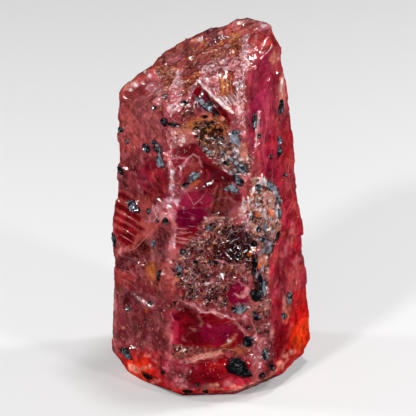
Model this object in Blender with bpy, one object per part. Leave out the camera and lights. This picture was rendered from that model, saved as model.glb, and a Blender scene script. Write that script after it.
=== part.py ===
"""A raw ruby crystal: a tapering six-sided prism of corundum with a broken, slanting top.

The crystal grew as one piece, so it is one solid. A block is cleaved by one plane for
each natural face, meshed evenly, and weathered: its side faces step in thin plates along
the basal parting, its top and edges are chipped, and mica lumps, pits and ledges lie
where they are seen on the stone. Lengths below are in millimetres, +Z is up, and the
front of the crystal looks along -Y.
"""

import math
from dataclasses import dataclass

import bmesh
import bpy
import numpy as np
from mathutils import Vector, noise

METRES = 0.001

# Driving dimensions
BLOCK_SIDE = 40.0
MESH_STEP = 0.24
TRIANGLES = 8600
BASE_FLAT = 0.05
BASE_FADE = 0.9

# How the stone is sighted in the photograph: its pixels, their size and the camera's pitch
PIXEL = 0.0735
AXIS_PIXEL = 211.0
BASE_PIXEL = 364.0
PITCH = math.radians(24.0)

# Weathering
SWAY_HEIGHT, SWAY_LENGTH = 0.16, 4.5
PLATE_HEIGHT, PLATE_STEP = 0.13, 1.05
CHIP_HEIGHT, CHIP_LENGTH = 0.42, 2.1
SIDE_CHIPS, TOP_CHIPS = 0.25, 1.0

RUBY = (0.42, 0.045, 0.075)


@dataclass(frozen=True)
class Face:
    """A natural face: the plane that lies `reach` from the axis at `height`.

    azimuth is the way it faces, in degrees from the front towards the right, and tilt is
    how far it faces up.
    """

    azimuth: float
    tilt: float
    reach: float
    height: float

    def normal(self):
        """The face's outward direction."""
        azimuth, tilt = math.radians(self.azimuth), math.radians(self.tilt)
        return np.array(
            [math.sin(azimuth) * math.cos(tilt), -math.cos(azimuth) * math.cos(tilt), math.sin(tilt)]
        )

    def point(self):
        """A point on the face."""
        azimuth = math.radians(self.azimuth)
        return np.array([self.reach * math.sin(azimuth), -self.reach * math.cos(azimuth), self.height])


FACES = {
    "front": Face(0, 2.8, 6.0, 5),
    "front_left": Face(-54.1, 1.3, 6.15, 5),
    "front_right": Face(60.9, 4.7, 5.97, 5),
    "back_left": Face(-125.6, 1.4, 6.2, 5),
    "back": Face(176, 2.2, 6.0, 5),
    "back_right": Face(122.7, 4.6, 6.02, 5),
    "left_edge": Face(-90, 1.2, 7.56, 5),
    "right_edge": Face(92, 5.9, 6.97, 5),
    "left_front_edge": Face(-27, 2.2, 6.5, 5),
    "right_front_edge": Face(31, 3.6, 6.38, 5),
    "left_back_edge": Face(-154, 2.0, 6.55, 5),
    "right_back_edge": Face(150, 3.4, 6.5, 5),
    "right_front_bulge": Face(41, 9.0, 6.45, 9),
    "top_slope": Face(-90, 65.3, 0, 24.6),
    "apex": Face(80, 80, 0, 27.65),
    "top_left_chamfer": Face(-92, 28, 6.9, 21.0),
    "top_right_chamfer": Face(84, 33, 4.7, 25.4),
    "top_front_slope": Face(-11.5, 63.4, 0, 26.2),
    "top_front_chamfer": Face(-6, 35, 5.0, 23.0),
    "top_back_slope": Face(197, 73, 0, 27.65),
    "top_back_chamfer": Face(186, 38, 5.25, 24.45),
    "base": Face(0, -90, 0, 0),
    "base_rise": Face(84, -77, 2.2, 0),
    "base_right_chamfer": Face(88, -33, 6.7, 1.0),
    "base_front_chamfer": Face(4, -46, 5.95, 0.35),
    "base_left_chamfer": Face(-84, -42, 7.0, 0.4),
    "base_front_left_chamfer": Face(-40, -52, 6.3, 0.3),
    "base_front_right_chamfer": Face(38, -48, 6.05, 0.75),
    "base_back_chamfer": Face(182, -35, 5.9, 0.55),
    "base_back_right_chamfer": Face(135, -42, 6.0, 0.7),
}


@dataclass(frozen=True)
class Mark:
    """A lump (rise above 0) or a pit (below 0) on the surface.

    pixel is where it is seen in the photograph, or in its mirror image from behind where
    behind is set. length lies up the face, turned by turn degrees towards the right, and
    edge is the share of its half-width that its wall takes.
    """

    pixel: tuple
    length: float
    width: float
    rise: float
    turn: float = 0.0
    edge: float = 0.45
    behind: bool = False


@dataclass(frozen=True)
class Ledge:
    """A raised, broken edge along a line of pixels: it falls away steeply on one side."""

    pixels: tuple
    width: float
    rise: float
    behind: bool = False


MICA_LUMPS = (
    Mark((159, 155), 1.7, 0.7, 0.16, -14),
    Mark((146, 148), 0.8, 0.55, 0.1),
    Mark((204, 106), 0.9, 1.3, 0.2, 20),
    Mark((172, 126), 0.7, 1.6, 0.14, 12),
    Mark((191, 177), 0.8, 1.5, 0.2, -38),
    Mark((236, 139), 1.2, 1.0, 0.22),
    Mark((241, 167), 1.0, 1.2, 0.2, 30),
    Mark((237, 184), 1.1, 1.2, 0.2, 40),
    Mark((254, 122), 1.6, 0.6, 0.14, 6),
    Mark((281, 108), 1.5, 0.6, 0.12, -6),
    Mark((279, 147), 1.6, 0.5, 0.12),
    Mark((133, 208), 1.4, 0.9, 0.16, -28),
    Mark((248, 341), 1.0, 1.1, 0.18),
    Mark((241, 366), 1.5, 2.1, 0.24, 34),
    Mark((265, 354), 1.6, 0.7, 0.14, 8),
    Mark((129, 354), 1.5, 0.6, 0.16, -36),
    Mark((287, 304), 1.7, 0.8, 0.14),
)

PITS = (
    Mark((201, 96), 1.6, 2.9, -0.4, 30, 0.5),
    Mark((210, 134), 2.2, 3.2, -0.6, 0, 0.5),
    Mark((228, 158), 2.0, 2.2, -0.3, 40, 0.5),
    Mark((236, 243), 3.0, 3.6, -0.6, 0, 0.6),
    Mark((262, 247), 4.4, 1.1, -0.35, 6, 0.6),
    Mark((205, 268), 3.8, 4.4, -0.28, 0, 0.7),
    Mark((222, 208), 1.7, 2.2, -0.25, 30, 0.6),
    Mark((165, 100), 3.2, 0.9, -0.3, -14, 0.7),
    Mark((157, 262), 3.0, 1.4, -0.2, -16, 0.7),
    Mark((225, 356), 1.8, 4.2, -0.25, -8, 0.6),
    Mark((183, 66), 2.2, 2.6, -0.3, 0, 0.8),
    Mark((217, 52), 1.8, 2.6, -0.25, 0, 0.8),
)

LEDGES = (
    Ledge(((126, 92), (138, 82), (152, 76)), 1.7, 0.75),
    Ledge(((236, 26), (250, 22), (262, 24)), 1.5, 0.3),
    Ledge(((196, 40), (208, 36), (222, 33), (234, 28)), 1.2, 0.25),
    Ledge(((176, 112), (190, 98), (198, 84), (214, 96), (233, 114)), 0.9, 0.36),
    Ledge(((250, 36), (244, 62), (240, 92), (241, 122), (246, 150), (245, 176)), 1.1, 0.2),
    Ledge(((166, 122), (169, 148), (171, 176), (173, 204), (174, 226)), 0.8, 0.14),
    Ledge(((172, 314), (188, 306), (210, 309), (232, 318), (246, 334)), 0.9, 0.2),
    Ledge(((266, 196), (277, 214), (279, 234), (271, 262), (262, 292)), 0.9, 0.2),
    Ledge(((115, 250), (130, 247), (146, 234), (160, 220)), 0.9, 0.12),
    Ledge(((180, 352), (205, 350), (228, 348), (246, 356)), 0.8, 0.16),
    Ledge(((150, 140), (168, 190), (164, 240), (172, 300)), 1.2, 0.22, True),
    Ledge(((200, 130), (228, 150), (250, 176)), 1.0, 0.26, True),
    Ledge(((180, 290), (210, 280), (244, 292)), 1.1, 0.24, True),
    Ledge(((268, 112), (262, 150), (268, 192), (280, 224)), 1.1, 0.26, True),
    Ledge(((256, 300), (274, 284), (296, 290)), 1.0, 0.24, True),
)

BACK_MARKS = (
    Mark((190, 120), 2.6, 3.0, -0.4, 20, 0.6, True),
    Mark((232, 190), 3.4, 2.2, -0.35, -24, 0.6, True),
    Mark((176, 226), 2.4, 3.4, -0.3, 0, 0.7, True),
    Mark((226, 266), 2.6, 3.2, -0.4, 30, 0.6, True),
    Mark((192, 318), 2.2, 3.6, -0.3, 0, 0.6, True),
    Mark((150, 170), 1.6, 0.8, 0.16, 14, 0.4, True),
    Mark((208, 156), 1.1, 1.4, 0.2, -30, 0.4, True),
    Mark((262, 238), 1.7, 0.7, 0.16, 8, 0.4, True),
    Mark((212, 220), 1.0, 1.5, 0.2, 40, 0.4, True),
    Mark((160, 286), 1.5, 0.8, 0.16, -18, 0.4, True),
    Mark((246, 326), 1.2, 1.6, 0.22, 20, 0.4, True),
    Mark((200, 352), 1.0, 1.4, 0.18, 0, 0.4, True),
    Mark((278, 150), 2.6, 2.0, -0.35, 12, 0.6, True),
    Mark((272, 250), 3.2, 2.4, -0.35, -20, 0.6, True),
    Mark((284, 320), 2.0, 1.8, -0.25, 0, 0.6, True),
    Mark((284, 196), 1.5, 0.8, 0.18, 20, 0.4, True),
    Mark((262, 290), 1.0, 1.3, 0.18, -30, 0.4, True),
)


def sight(pixel, behind):
    """Where the line of sight through a pixel meets the block, and that face's normal."""
    flip = -1.0 if behind else 1.0
    across = (pixel[0] - AXIS_PIXEL) * PIXEL * flip
    height = (BASE_PIXEL - pixel[1]) * PIXEL
    start = np.array([across, height * math.sin(PITCH) * flip, height * math.cos(PITCH)])
    away = np.array([0.0, math.cos(PITCH) * flip, -math.sin(PITCH)])
    deepest, met = -math.inf, None
    for face in FACES.values():
        closing = face.normal() @ away
        if closing < 0:
            distance = face.normal() @ (face.point() - start) / closing
            if distance > deepest:
                deepest, met = distance, face
    return start + deepest * away, met.normal()


def smooth(value):
    """Eases a value from 0 to 1."""
    value = np.clip(value, 0, 1)
    return value * value * (3 - 2 * value)


def wander(points, length, seed=0.0):
    """Smooth noise from about -1 to 1 that changes over this length."""
    shift = Vector((seed, 2.7 * seed, -1.9 * seed))
    return np.array([noise.noise(Vector(p) / length + shift) for p in points]) * 1.6


def mark_height(mark, points):
    """The height that a lump or pit adds at each point."""
    centre, normal = sight(mark.pixel, mark.behind)
    upright = np.array([0.0, 0.0, 1.0]) - normal[2] * normal
    upright /= np.linalg.norm(upright)
    right = np.cross(upright, normal)
    turn = math.radians(mark.turn)
    along = math.cos(turn) * upright + math.sin(turn) * right
    aside = np.cross(along, normal)
    offset = points - centre
    rim = np.hypot(offset @ along / (mark.length / 2), offset @ aside / (mark.width / 2))
    near = (rim < 2) & (np.abs(offset @ normal) < 1.4)
    height = np.zeros(len(points))
    ragged = rim[near] + 0.25 * wander(points[near], 0.7, mark.length)
    height[near] = mark.rise * smooth((1 - ragged) / mark.edge)
    return height


def ledge_height(ledge, points):
    """The height that a broken edge adds at each point: its crest lies along the line."""
    line = [sight(pixel, ledge.behind)[0] for pixel in ledge.pixels]
    nearest = np.full(len(points), np.inf)
    for start, end in zip(line, line[1:]):
        run = end - start
        share = np.clip((points - start) @ run / (run @ run), 0, 1)
        gap = np.linalg.norm(points - start - share[:, None] * run, axis=1)
        nearest = np.minimum(nearest, gap)
    return ledge.rise * smooth(1 - nearest / ledge.width)


def plate_height(points, normals):
    """Thin plates along the basal parting: each stands out or back a little from the next."""
    level = (points[:, 2] + 0.6 * wander(points, 3.5, 5.0)) / PLATE_STEP
    plate = np.floor(level)
    share = smooth((level - plate) / 0.2)
    layers = []
    for layer in (plate - 1, plate):
        at = np.column_stack([points[:, :2] / 6.0, layer * 7.3])
        layers.append(wander(at, 1.0, 9.0))
    return PLATE_HEIGHT * (layers[0] * (1 - share) + layers[1] * share) * (1 - normals[:, 2] ** 2)


def chip_height(points, normals):
    """Small flat breaks: each cell of the surface leans its own way."""
    top = smooth((np.abs(normals[:, 2]) - 0.25) / 0.3) * (points[:, 2] > 12)
    amount = SIDE_CHIPS + (TOP_CHIPS - SIDE_CHIPS) * top
    height = np.zeros(len(points))
    for i, point in enumerate(points):
        place = Vector(point) / CHIP_LENGTH
        cell = noise.voronoi(place)[1][0]
        lean = noise.noise_vector(cell * 3.1)
        height[i] = (place - cell).dot(lean)
    return CHIP_HEIGHT * amount * height


def weathered(points, normals):
    """The points moved in and out along their normals by all that wore or grew on them."""
    height = SWAY_HEIGHT * wander(points, SWAY_LENGTH)
    height += plate_height(points, normals)
    height += chip_height(points, normals)
    for ledge in LEDGES:
        height += ledge_height(ledge, points)
    for mark in (*PITS, *MICA_LUMPS, *BACK_MARKS):
        height += mark_height(mark, points)
    height *= smooth(points[:, 2] / BASE_FADE)
    return points + normals * height[:, None]


def cleaved_block():
    """The bare crystal: a block cut by every natural face."""
    shape = bmesh.new()
    bmesh.ops.create_cube(shape, size=BLOCK_SIDE)
    bmesh.ops.translate(shape, verts=shape.verts, vec=(0, 0, BLOCK_SIDE / 2 - 1))
    for face in FACES.values():
        cut = bmesh.ops.bisect_plane(
            shape,
            geom=[*shape.verts, *shape.edges, *shape.faces],
            plane_co=face.point(),
            plane_no=face.normal(),
            clear_outer=True,
        )
        rim = [part for part in cut["geom_cut"] if isinstance(part, bmesh.types.BMEdge)]
        bmesh.ops.edgeloop_fill(shape, edges=rim)
    bmesh.ops.recalc_face_normals(shape, faces=shape.faces)
    mesh = bpy.data.meshes.new("cleaved_block")
    shape.to_mesh(mesh)
    shape.free()
    return mesh


def evenly_meshed(mesh):
    """The same shape in small, even faces that weathering can move."""
    holder = bpy.data.objects.new("even_block", mesh)
    bpy.context.scene.collection.objects.link(holder)
    remesh = holder.modifiers.new("even", "REMESH")
    remesh.mode = "VOXEL"
    remesh.voxel_size = MESH_STEP
    bpy.context.view_layer.update()
    evaluated = holder.evaluated_get(bpy.context.evaluated_depsgraph_get())
    even = bpy.data.meshes.new_from_object(evaluated)
    bpy.data.objects.remove(holder)
    return even


def weather(mesh):
    """Moves the mesh's points, sets its base flat, and centres it over the origin."""
    points = np.empty(len(mesh.vertices) * 3)
    mesh.vertices.foreach_get("co", points)
    points = points.reshape(-1, 3)
    normals = np.empty(len(mesh.vertices) * 3)
    mesh.vertex_normals.foreach_get("vector", normals)
    moved = weathered(points, normals.reshape(-1, 3))
    moved[:, 2] -= moved[:, 2].min()
    moved[moved[:, 2] < BASE_FLAT, 2] = 0
    moved[:, :2] -= (moved[:, :2].max(axis=0) + moved[:, :2].min(axis=0)) / 2
    mesh.vertices.foreach_set("co", (moved * METRES).ravel())
    mesh.update()


def ruby_material():
    """Glossy, slightly rough deep pink-red."""
    material = bpy.data.materials.new("ruby")
    material.use_nodes = True
    shader = material.node_tree.nodes["Principled BSDF"]
    shader.inputs["Base Color"].default_value = (*RUBY, 1)
    shader.inputs["Roughness"].default_value = 0.32
    shader.inputs["Metallic"].default_value = 0.0
    shader.inputs["IOR"].default_value = 1.76
    return material


def ruby_crystal():
    """The finished crystal, thinned where its surface is nearly flat."""
    mesh = evenly_meshed(cleaved_block())
    weather(mesh)
    mesh.materials.append(ruby_material())
    crystal = bpy.data.objects.new("ruby_crystal", mesh)
    bpy.context.scene.collection.objects.link(crystal)
    mesh.calc_loop_triangles()
    thin = crystal.modifiers.new("thin", "DECIMATE")
    thin.ratio = min(1.0, TRIANGLES / len(mesh.loop_triangles))
    return crystal


def main():
    """Clears the scene and builds the crystal."""
    for old in list(bpy.data.objects):
        bpy.data.objects.remove(old)
    ruby_crystal()


main()
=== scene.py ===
"""A raw ruby crystal: the looks of a rough six-sided prism with mica flakes and an iron crust.

The crystal is cut from a block by its natural faces, weathered, and painted in its mesh's
attributes with marks that are placed where they are seen on the stone. Flakes of mica and
grains of crust lie on it as meshes of their own. Lengths are in millimetres until a mesh is
finished, +Z is up, and the front of the crystal looks along -Y.
"""

from __future__ import annotations

import logging
import math
from dataclasses import dataclass, field
from enum import Enum

import bmesh
import bpy
import numpy as np
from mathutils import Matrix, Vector, noise
from mathutils.bvhtree import BVHTree


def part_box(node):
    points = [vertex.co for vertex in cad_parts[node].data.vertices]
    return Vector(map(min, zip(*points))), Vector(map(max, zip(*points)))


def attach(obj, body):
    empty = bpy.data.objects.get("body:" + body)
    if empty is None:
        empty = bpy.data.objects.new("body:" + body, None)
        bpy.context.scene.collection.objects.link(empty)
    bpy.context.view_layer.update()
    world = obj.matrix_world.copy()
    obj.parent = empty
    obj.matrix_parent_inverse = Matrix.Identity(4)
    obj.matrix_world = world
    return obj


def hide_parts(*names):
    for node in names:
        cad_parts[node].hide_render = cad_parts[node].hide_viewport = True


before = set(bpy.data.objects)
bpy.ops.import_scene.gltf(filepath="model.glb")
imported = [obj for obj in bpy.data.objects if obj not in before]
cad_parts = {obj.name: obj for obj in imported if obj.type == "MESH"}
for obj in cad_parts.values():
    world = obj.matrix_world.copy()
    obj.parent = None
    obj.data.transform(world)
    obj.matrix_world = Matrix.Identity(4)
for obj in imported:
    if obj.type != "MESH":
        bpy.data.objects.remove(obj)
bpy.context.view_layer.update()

LOG = logging.getLogger("ruby_crystal")
METRES = 0.001

# How the stone is sighted: the size of a pixel, the axis's column, the base's row, the pitch
PIXEL = 0.0735
AXIS_PIXEL = 211.0
BASE_PIXEL = 364.0
PITCH = math.radians(24.0)
IMAGE_PIXELS = 416

# Weathering that the solid has too
SWAY_HEIGHT, SWAY_LENGTH = 0.16, 4.5
PLATE_HEIGHT, PLATE_STEP = 0.13, 1.05
CHIP_HEIGHT, CHIP_LENGTH = 0.42, 2.1
SIDE_CHIPS, TOP_CHIPS = 0.25, 1.0
BASE_FADE = 0.9

Points = np.ndarray
Pixels = tuple[tuple[float, float], ...]


class Side(Enum):
    """The side of the crystal that a mark is placed on, with the sign of its view."""

    FRONT = 1.0
    BACK = -1.0


class Tint(Enum):
    """The stone's colours, and the painted glow of light shining up through its foot, as screen values from 0 to 255.
    """

    SALMON = (188, 94, 88)
    ROSE = (168, 70, 80)
    BRICK = (160, 56, 52)
    WINE = (130, 24, 42)
    CRIMSON = (132, 2, 26)
    DARK_RED = (90, 6, 16)
    MAGENTA = (158, 30, 74)
    DEEP_MAGENTA = (122, 4, 54)
    RASPBERRY = (184, 46, 70)
    SCARLET = (186, 36, 34)
    PLUM = (96, 38, 52)
    MAUVE = (150, 94, 98)
    DULL_ROSE = (132, 66, 68)
    UMBER = (80, 42, 36)
    COCOA = (50, 20, 19)
    SOOT = (18, 12, 13)
    RUST = (142, 60, 32)
    OCHRE = (190, 114, 64)
    GOLD = (226, 158, 76)
    SAND = (178, 132, 112)
    PEACH = (224, 156, 132)
    PALE_PINK = (216, 146, 154)
    # FROST is the white of frosted ridges and also of painted highlights and glints.
    FROST = (244, 222, 226)
    SILVER = (176, 182, 194)
    GRAPHITE = (74, 78, 86)
    ORANGE = (246, 124, 30)
    # Painted glow: light shining up through the foot of the stone.
    GLOW_RED = (220, 24, 24)
    GLOW_ORANGE = (252, 66, 28)
    GLOW_PINK = (255, 176, 150)

    def linear(self) -> np.ndarray:
        """The tint in linear light."""
        share = np.array(self.value) / 255.0
        return np.where(share <= 0.04045, share / 12.92, ((share + 0.055) / 1.055) ** 2.4)


T = Tint


@dataclass(frozen=True)
class Face:
    """A natural face: the plane that lies `reach` from the axis at `height`.

    azimuth is the way it faces, in degrees from the front towards the right, and tilt is
    how far it faces up.
    """

    azimuth: float
    tilt: float
    reach: float
    height: float

    def normal(self) -> Points:
        """The face's outward direction."""
        azimuth, tilt = math.radians(self.azimuth), math.radians(self.tilt)
        return np.array(
            [math.sin(azimuth) * math.cos(tilt), -math.cos(azimuth) * math.cos(tilt), math.sin(tilt)]
        )

    def point(self) -> Points:
        """A point on the face."""
        azimuth = math.radians(self.azimuth)
        return np.array([self.reach * math.sin(azimuth), -self.reach * math.cos(azimuth), self.height])


FACES = {
    "front": Face(0, 2.8, 6.0, 5),
    "front_left": Face(-54.1, 1.3, 6.15, 5),
    "front_right": Face(60.9, 4.7, 5.97, 5),
    "back_left": Face(-125.6, 1.4, 6.2, 5),
    "back": Face(176, 2.2, 6.0, 5),
    "back_right": Face(122.7, 4.6, 6.02, 5),
    "left_edge": Face(-90, 1.2, 7.56, 5),
    "right_edge": Face(92, 5.9, 6.97, 5),
    "left_front_edge": Face(-27, 2.2, 6.5, 5),
    "right_front_edge": Face(31, 3.6, 6.38, 5),
    "left_back_edge": Face(-154, 2.0, 6.55, 5),
    "right_back_edge": Face(150, 3.4, 6.5, 5),
    "right_front_bulge": Face(41, 9.0, 6.45, 9),
    "top_slope": Face(-90, 65.3, 0, 24.6),
    "apex": Face(80, 80, 0, 27.65),
    "top_left_chamfer": Face(-92, 28, 6.9, 21.0),
    "top_right_chamfer": Face(84, 33, 4.7, 25.4),
    "top_front_slope": Face(-11.5, 63.4, 0, 26.2),
    "top_front_chamfer": Face(-6, 35, 5.0, 23.0),
    "top_back_slope": Face(197, 73, 0, 27.65),
    "top_back_chamfer": Face(186, 38, 5.25, 24.45),
    "base": Face(0, -90, 0, 0),
    "base_rise": Face(84, -77, 2.2, 0),
    "base_right_chamfer": Face(88, -33, 6.7, 1.0),
    "base_front_chamfer": Face(4, -46, 5.95, 0.35),
    "base_left_chamfer": Face(-84, -42, 7.0, 0.4),
    "base_front_left_chamfer": Face(-40, -52, 6.3, 0.3),
    "base_front_right_chamfer": Face(38, -48, 6.05, 0.75),
    "base_back_chamfer": Face(182, -35, 5.9, 0.55),
    "base_back_right_chamfer": Face(135, -42, 6.0, 0.7),
}


@dataclass(frozen=True)
class Mark:
    """A lump (rise above 0) or a pit (below 0) on the surface.

    pixel is where it is seen. length lies up the face, turned by turn degrees towards the
    right, and edge is the share of its half-width that its wall takes.
    """

    pixel: tuple[float, float]
    length: float
    width: float
    rise: float
    turn: float = 0.0
    edge: float = 0.45
    side: Side = Side.FRONT


@dataclass(frozen=True)
class Ledge:
    """A raised, broken edge along a line of pixels."""

    pixels: Pixels
    width: float
    rise: float
    side: Side = Side.FRONT


MICA_LUMPS = (
    Mark((159, 155), 1.7, 0.7, 0.16, -14),
    Mark((146, 148), 0.8, 0.55, 0.1),
    Mark((204, 106), 0.9, 1.3, 0.2, 20),
    Mark((172, 126), 0.7, 1.6, 0.14, 12),
    Mark((191, 177), 0.8, 1.5, 0.2, -38),
    Mark((236, 139), 1.2, 1.0, 0.22),
    Mark((241, 167), 1.0, 1.2, 0.2, 30),
    Mark((237, 184), 1.1, 1.2, 0.2, 40),
    Mark((254, 122), 1.6, 0.6, 0.14, 6),
    Mark((281, 108), 1.5, 0.6, 0.12, -6),
    Mark((279, 147), 1.6, 0.5, 0.12),
    Mark((133, 208), 1.4, 0.9, 0.16, -28),
    Mark((248, 341), 1.0, 1.1, 0.18),
    Mark((241, 366), 1.5, 2.1, 0.24, 34),
    Mark((265, 354), 1.6, 0.7, 0.14, 8),
    Mark((129, 354), 1.5, 0.6, 0.16, -36),
    Mark((287, 304), 1.7, 0.8, 0.14),
)

PITS = (
    Mark((201, 96), 1.6, 2.9, -0.4, 30, 0.5),
    Mark((210, 134), 2.2, 3.2, -0.6, 0, 0.5),
    Mark((228, 158), 2.0, 2.2, -0.3, 40, 0.5),
    Mark((236, 243), 3.0, 3.6, -0.6, 0, 0.6),
    Mark((262, 247), 4.4, 1.1, -0.35, 6, 0.6),
    Mark((205, 268), 3.8, 4.4, -0.28, 0, 0.7),
    Mark((222, 208), 1.7, 2.2, -0.25, 30, 0.6),
    Mark((165, 100), 3.2, 0.9, -0.3, -14, 0.7),
    Mark((157, 262), 3.0, 1.4, -0.2, -16, 0.7),
    Mark((225, 356), 1.8, 4.2, -0.25, -8, 0.6),
    Mark((183, 66), 2.2, 2.6, -0.3, 0, 0.8),
    Mark((217, 52), 1.8, 2.6, -0.25, 0, 0.8),
)

LEDGES = (
    Ledge(((126, 92), (138, 82), (152, 76)), 1.7, 0.75),
    Ledge(((236, 26), (250, 22), (262, 24)), 1.5, 0.3),
    Ledge(((196, 40), (208, 36), (222, 33), (234, 28)), 1.2, 0.25),
    Ledge(((176, 112), (190, 98), (198, 84), (214, 96), (233, 114)), 0.9, 0.36),
    Ledge(((250, 36), (244, 62), (240, 92), (241, 122), (246, 150), (245, 176)), 1.1, 0.2),
    Ledge(((166, 122), (169, 148), (171, 176), (173, 204), (174, 226)), 0.8, 0.14),
    Ledge(((172, 314), (188, 306), (210, 309), (232, 318), (246, 334)), 0.9, 0.2),
    Ledge(((266, 196), (277, 214), (279, 234), (271, 262), (262, 292)), 0.9, 0.2),
    Ledge(((115, 250), (130, 247), (146, 234), (160, 220)), 0.9, 0.12),
    Ledge(((180, 352), (205, 350), (228, 348), (246, 356)), 0.8, 0.16),
    Ledge(((150, 140), (168, 190), (164, 240), (172, 300)), 1.2, 0.22, Side.BACK),
    Ledge(((200, 130), (228, 150), (250, 176)), 1.0, 0.26, Side.BACK),
    Ledge(((180, 290), (210, 280), (244, 292)), 1.1, 0.24, Side.BACK),
    Ledge(((268, 112), (262, 150), (268, 192), (280, 224)), 1.1, 0.26, Side.BACK),
    Ledge(((256, 300), (274, 284), (296, 290)), 1.0, 0.24, Side.BACK),
)

BACK_MARKS = (
    Mark((190, 120), 2.6, 3.0, -0.4, 20, 0.6, Side.BACK),
    Mark((232, 190), 3.4, 2.2, -0.35, -24, 0.6, Side.BACK),
    Mark((176, 226), 2.4, 3.4, -0.3, 0, 0.7, Side.BACK),
    Mark((226, 266), 2.6, 3.2, -0.4, 30, 0.6, Side.BACK),
    Mark((192, 318), 2.2, 3.6, -0.3, 0, 0.6, Side.BACK),
    Mark((150, 170), 1.6, 0.8, 0.16, 14, 0.4, Side.BACK),
    Mark((208, 156), 1.1, 1.4, 0.2, -30, 0.4, Side.BACK),
    Mark((262, 238), 1.7, 0.7, 0.16, 8, 0.4, Side.BACK),
    Mark((212, 220), 1.0, 1.5, 0.2, 40, 0.4, Side.BACK),
    Mark((160, 286), 1.5, 0.8, 0.16, -18, 0.4, Side.BACK),
    Mark((246, 326), 1.2, 1.6, 0.22, 20, 0.4, Side.BACK),
    Mark((200, 352), 1.0, 1.4, 0.18, 0, 0.4, Side.BACK),
    Mark((278, 150), 2.6, 2.0, -0.35, 12, 0.6, Side.BACK),
    Mark((272, 250), 3.2, 2.4, -0.35, -20, 0.6, Side.BACK),
    Mark((284, 320), 2.0, 1.8, -0.25, 0, 0.6, Side.BACK),
    Mark((284, 196), 1.5, 0.8, 0.18, 20, 0.4, Side.BACK),
    Mark((262, 290), 1.0, 1.3, 0.18, -30, 0.4, Side.BACK),
)


def smooth(value: Points) -> Points:
    """Eases a value from 0 to 1."""
    value = np.clip(value, 0, 1)
    return value * value * (3 - 2 * value)


def wander(points: Points, length: float, seed: float = 0.0) -> Points:
    """Smooth noise in space.

    Args:
        points: Where it is wanted, one row each.
        length: The distance over which it changes.
        seed: Moves the noise, so that two of them differ.

    Returns:
        A value from about -1 to 1 for each point.
    """
    shift = np.array((seed, 2.7 * seed, -1.9 * seed))
    places = (points / length + shift).tolist()
    value = noise.noise
    return np.array([value(place) for place in places]) * 1.6


def toward_eye(side: Side) -> Points:
    """The direction from the stone to the eye that looks at this side."""
    return np.array([0.0, -math.cos(PITCH) * side.value, math.sin(PITCH)])


def sight(pixel: tuple[float, float], side: Side) -> tuple[Points, Points]:
    """Follows the line of sight through a pixel to the uncut faces.

    Args:
        pixel: Its column and row.
        side: The side that it is seen on.

    Returns:
        Where the line meets the block, and that face's normal.
    """
    across = (pixel[0] - AXIS_PIXEL) * PIXEL * side.value
    height = (BASE_PIXEL - pixel[1]) * PIXEL
    start = np.array([across, height * math.sin(PITCH) * side.value, height * math.cos(PITCH)])
    away = -toward_eye(side)
    deepest, met = -math.inf, FACES["front"]
    for face in FACES.values():
        closing = face.normal() @ away
        if closing < 0:
            distance = face.normal() @ (face.point() - start) / closing
            if distance > deepest:
                deepest, met = distance, face
    return start + deepest * away, met.normal()


def pixels_of(points: Points, side: Side) -> tuple[Points, Points]:
    """The column and the row at which points are seen from a side."""
    column = AXIS_PIXEL + points[:, 0] * side.value / PIXEL
    depth = points[:, 1] * side.value
    row = BASE_PIXEL - (points[:, 2] * math.cos(PITCH) + depth * math.sin(PITCH)) / PIXEL
    return column, row


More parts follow.
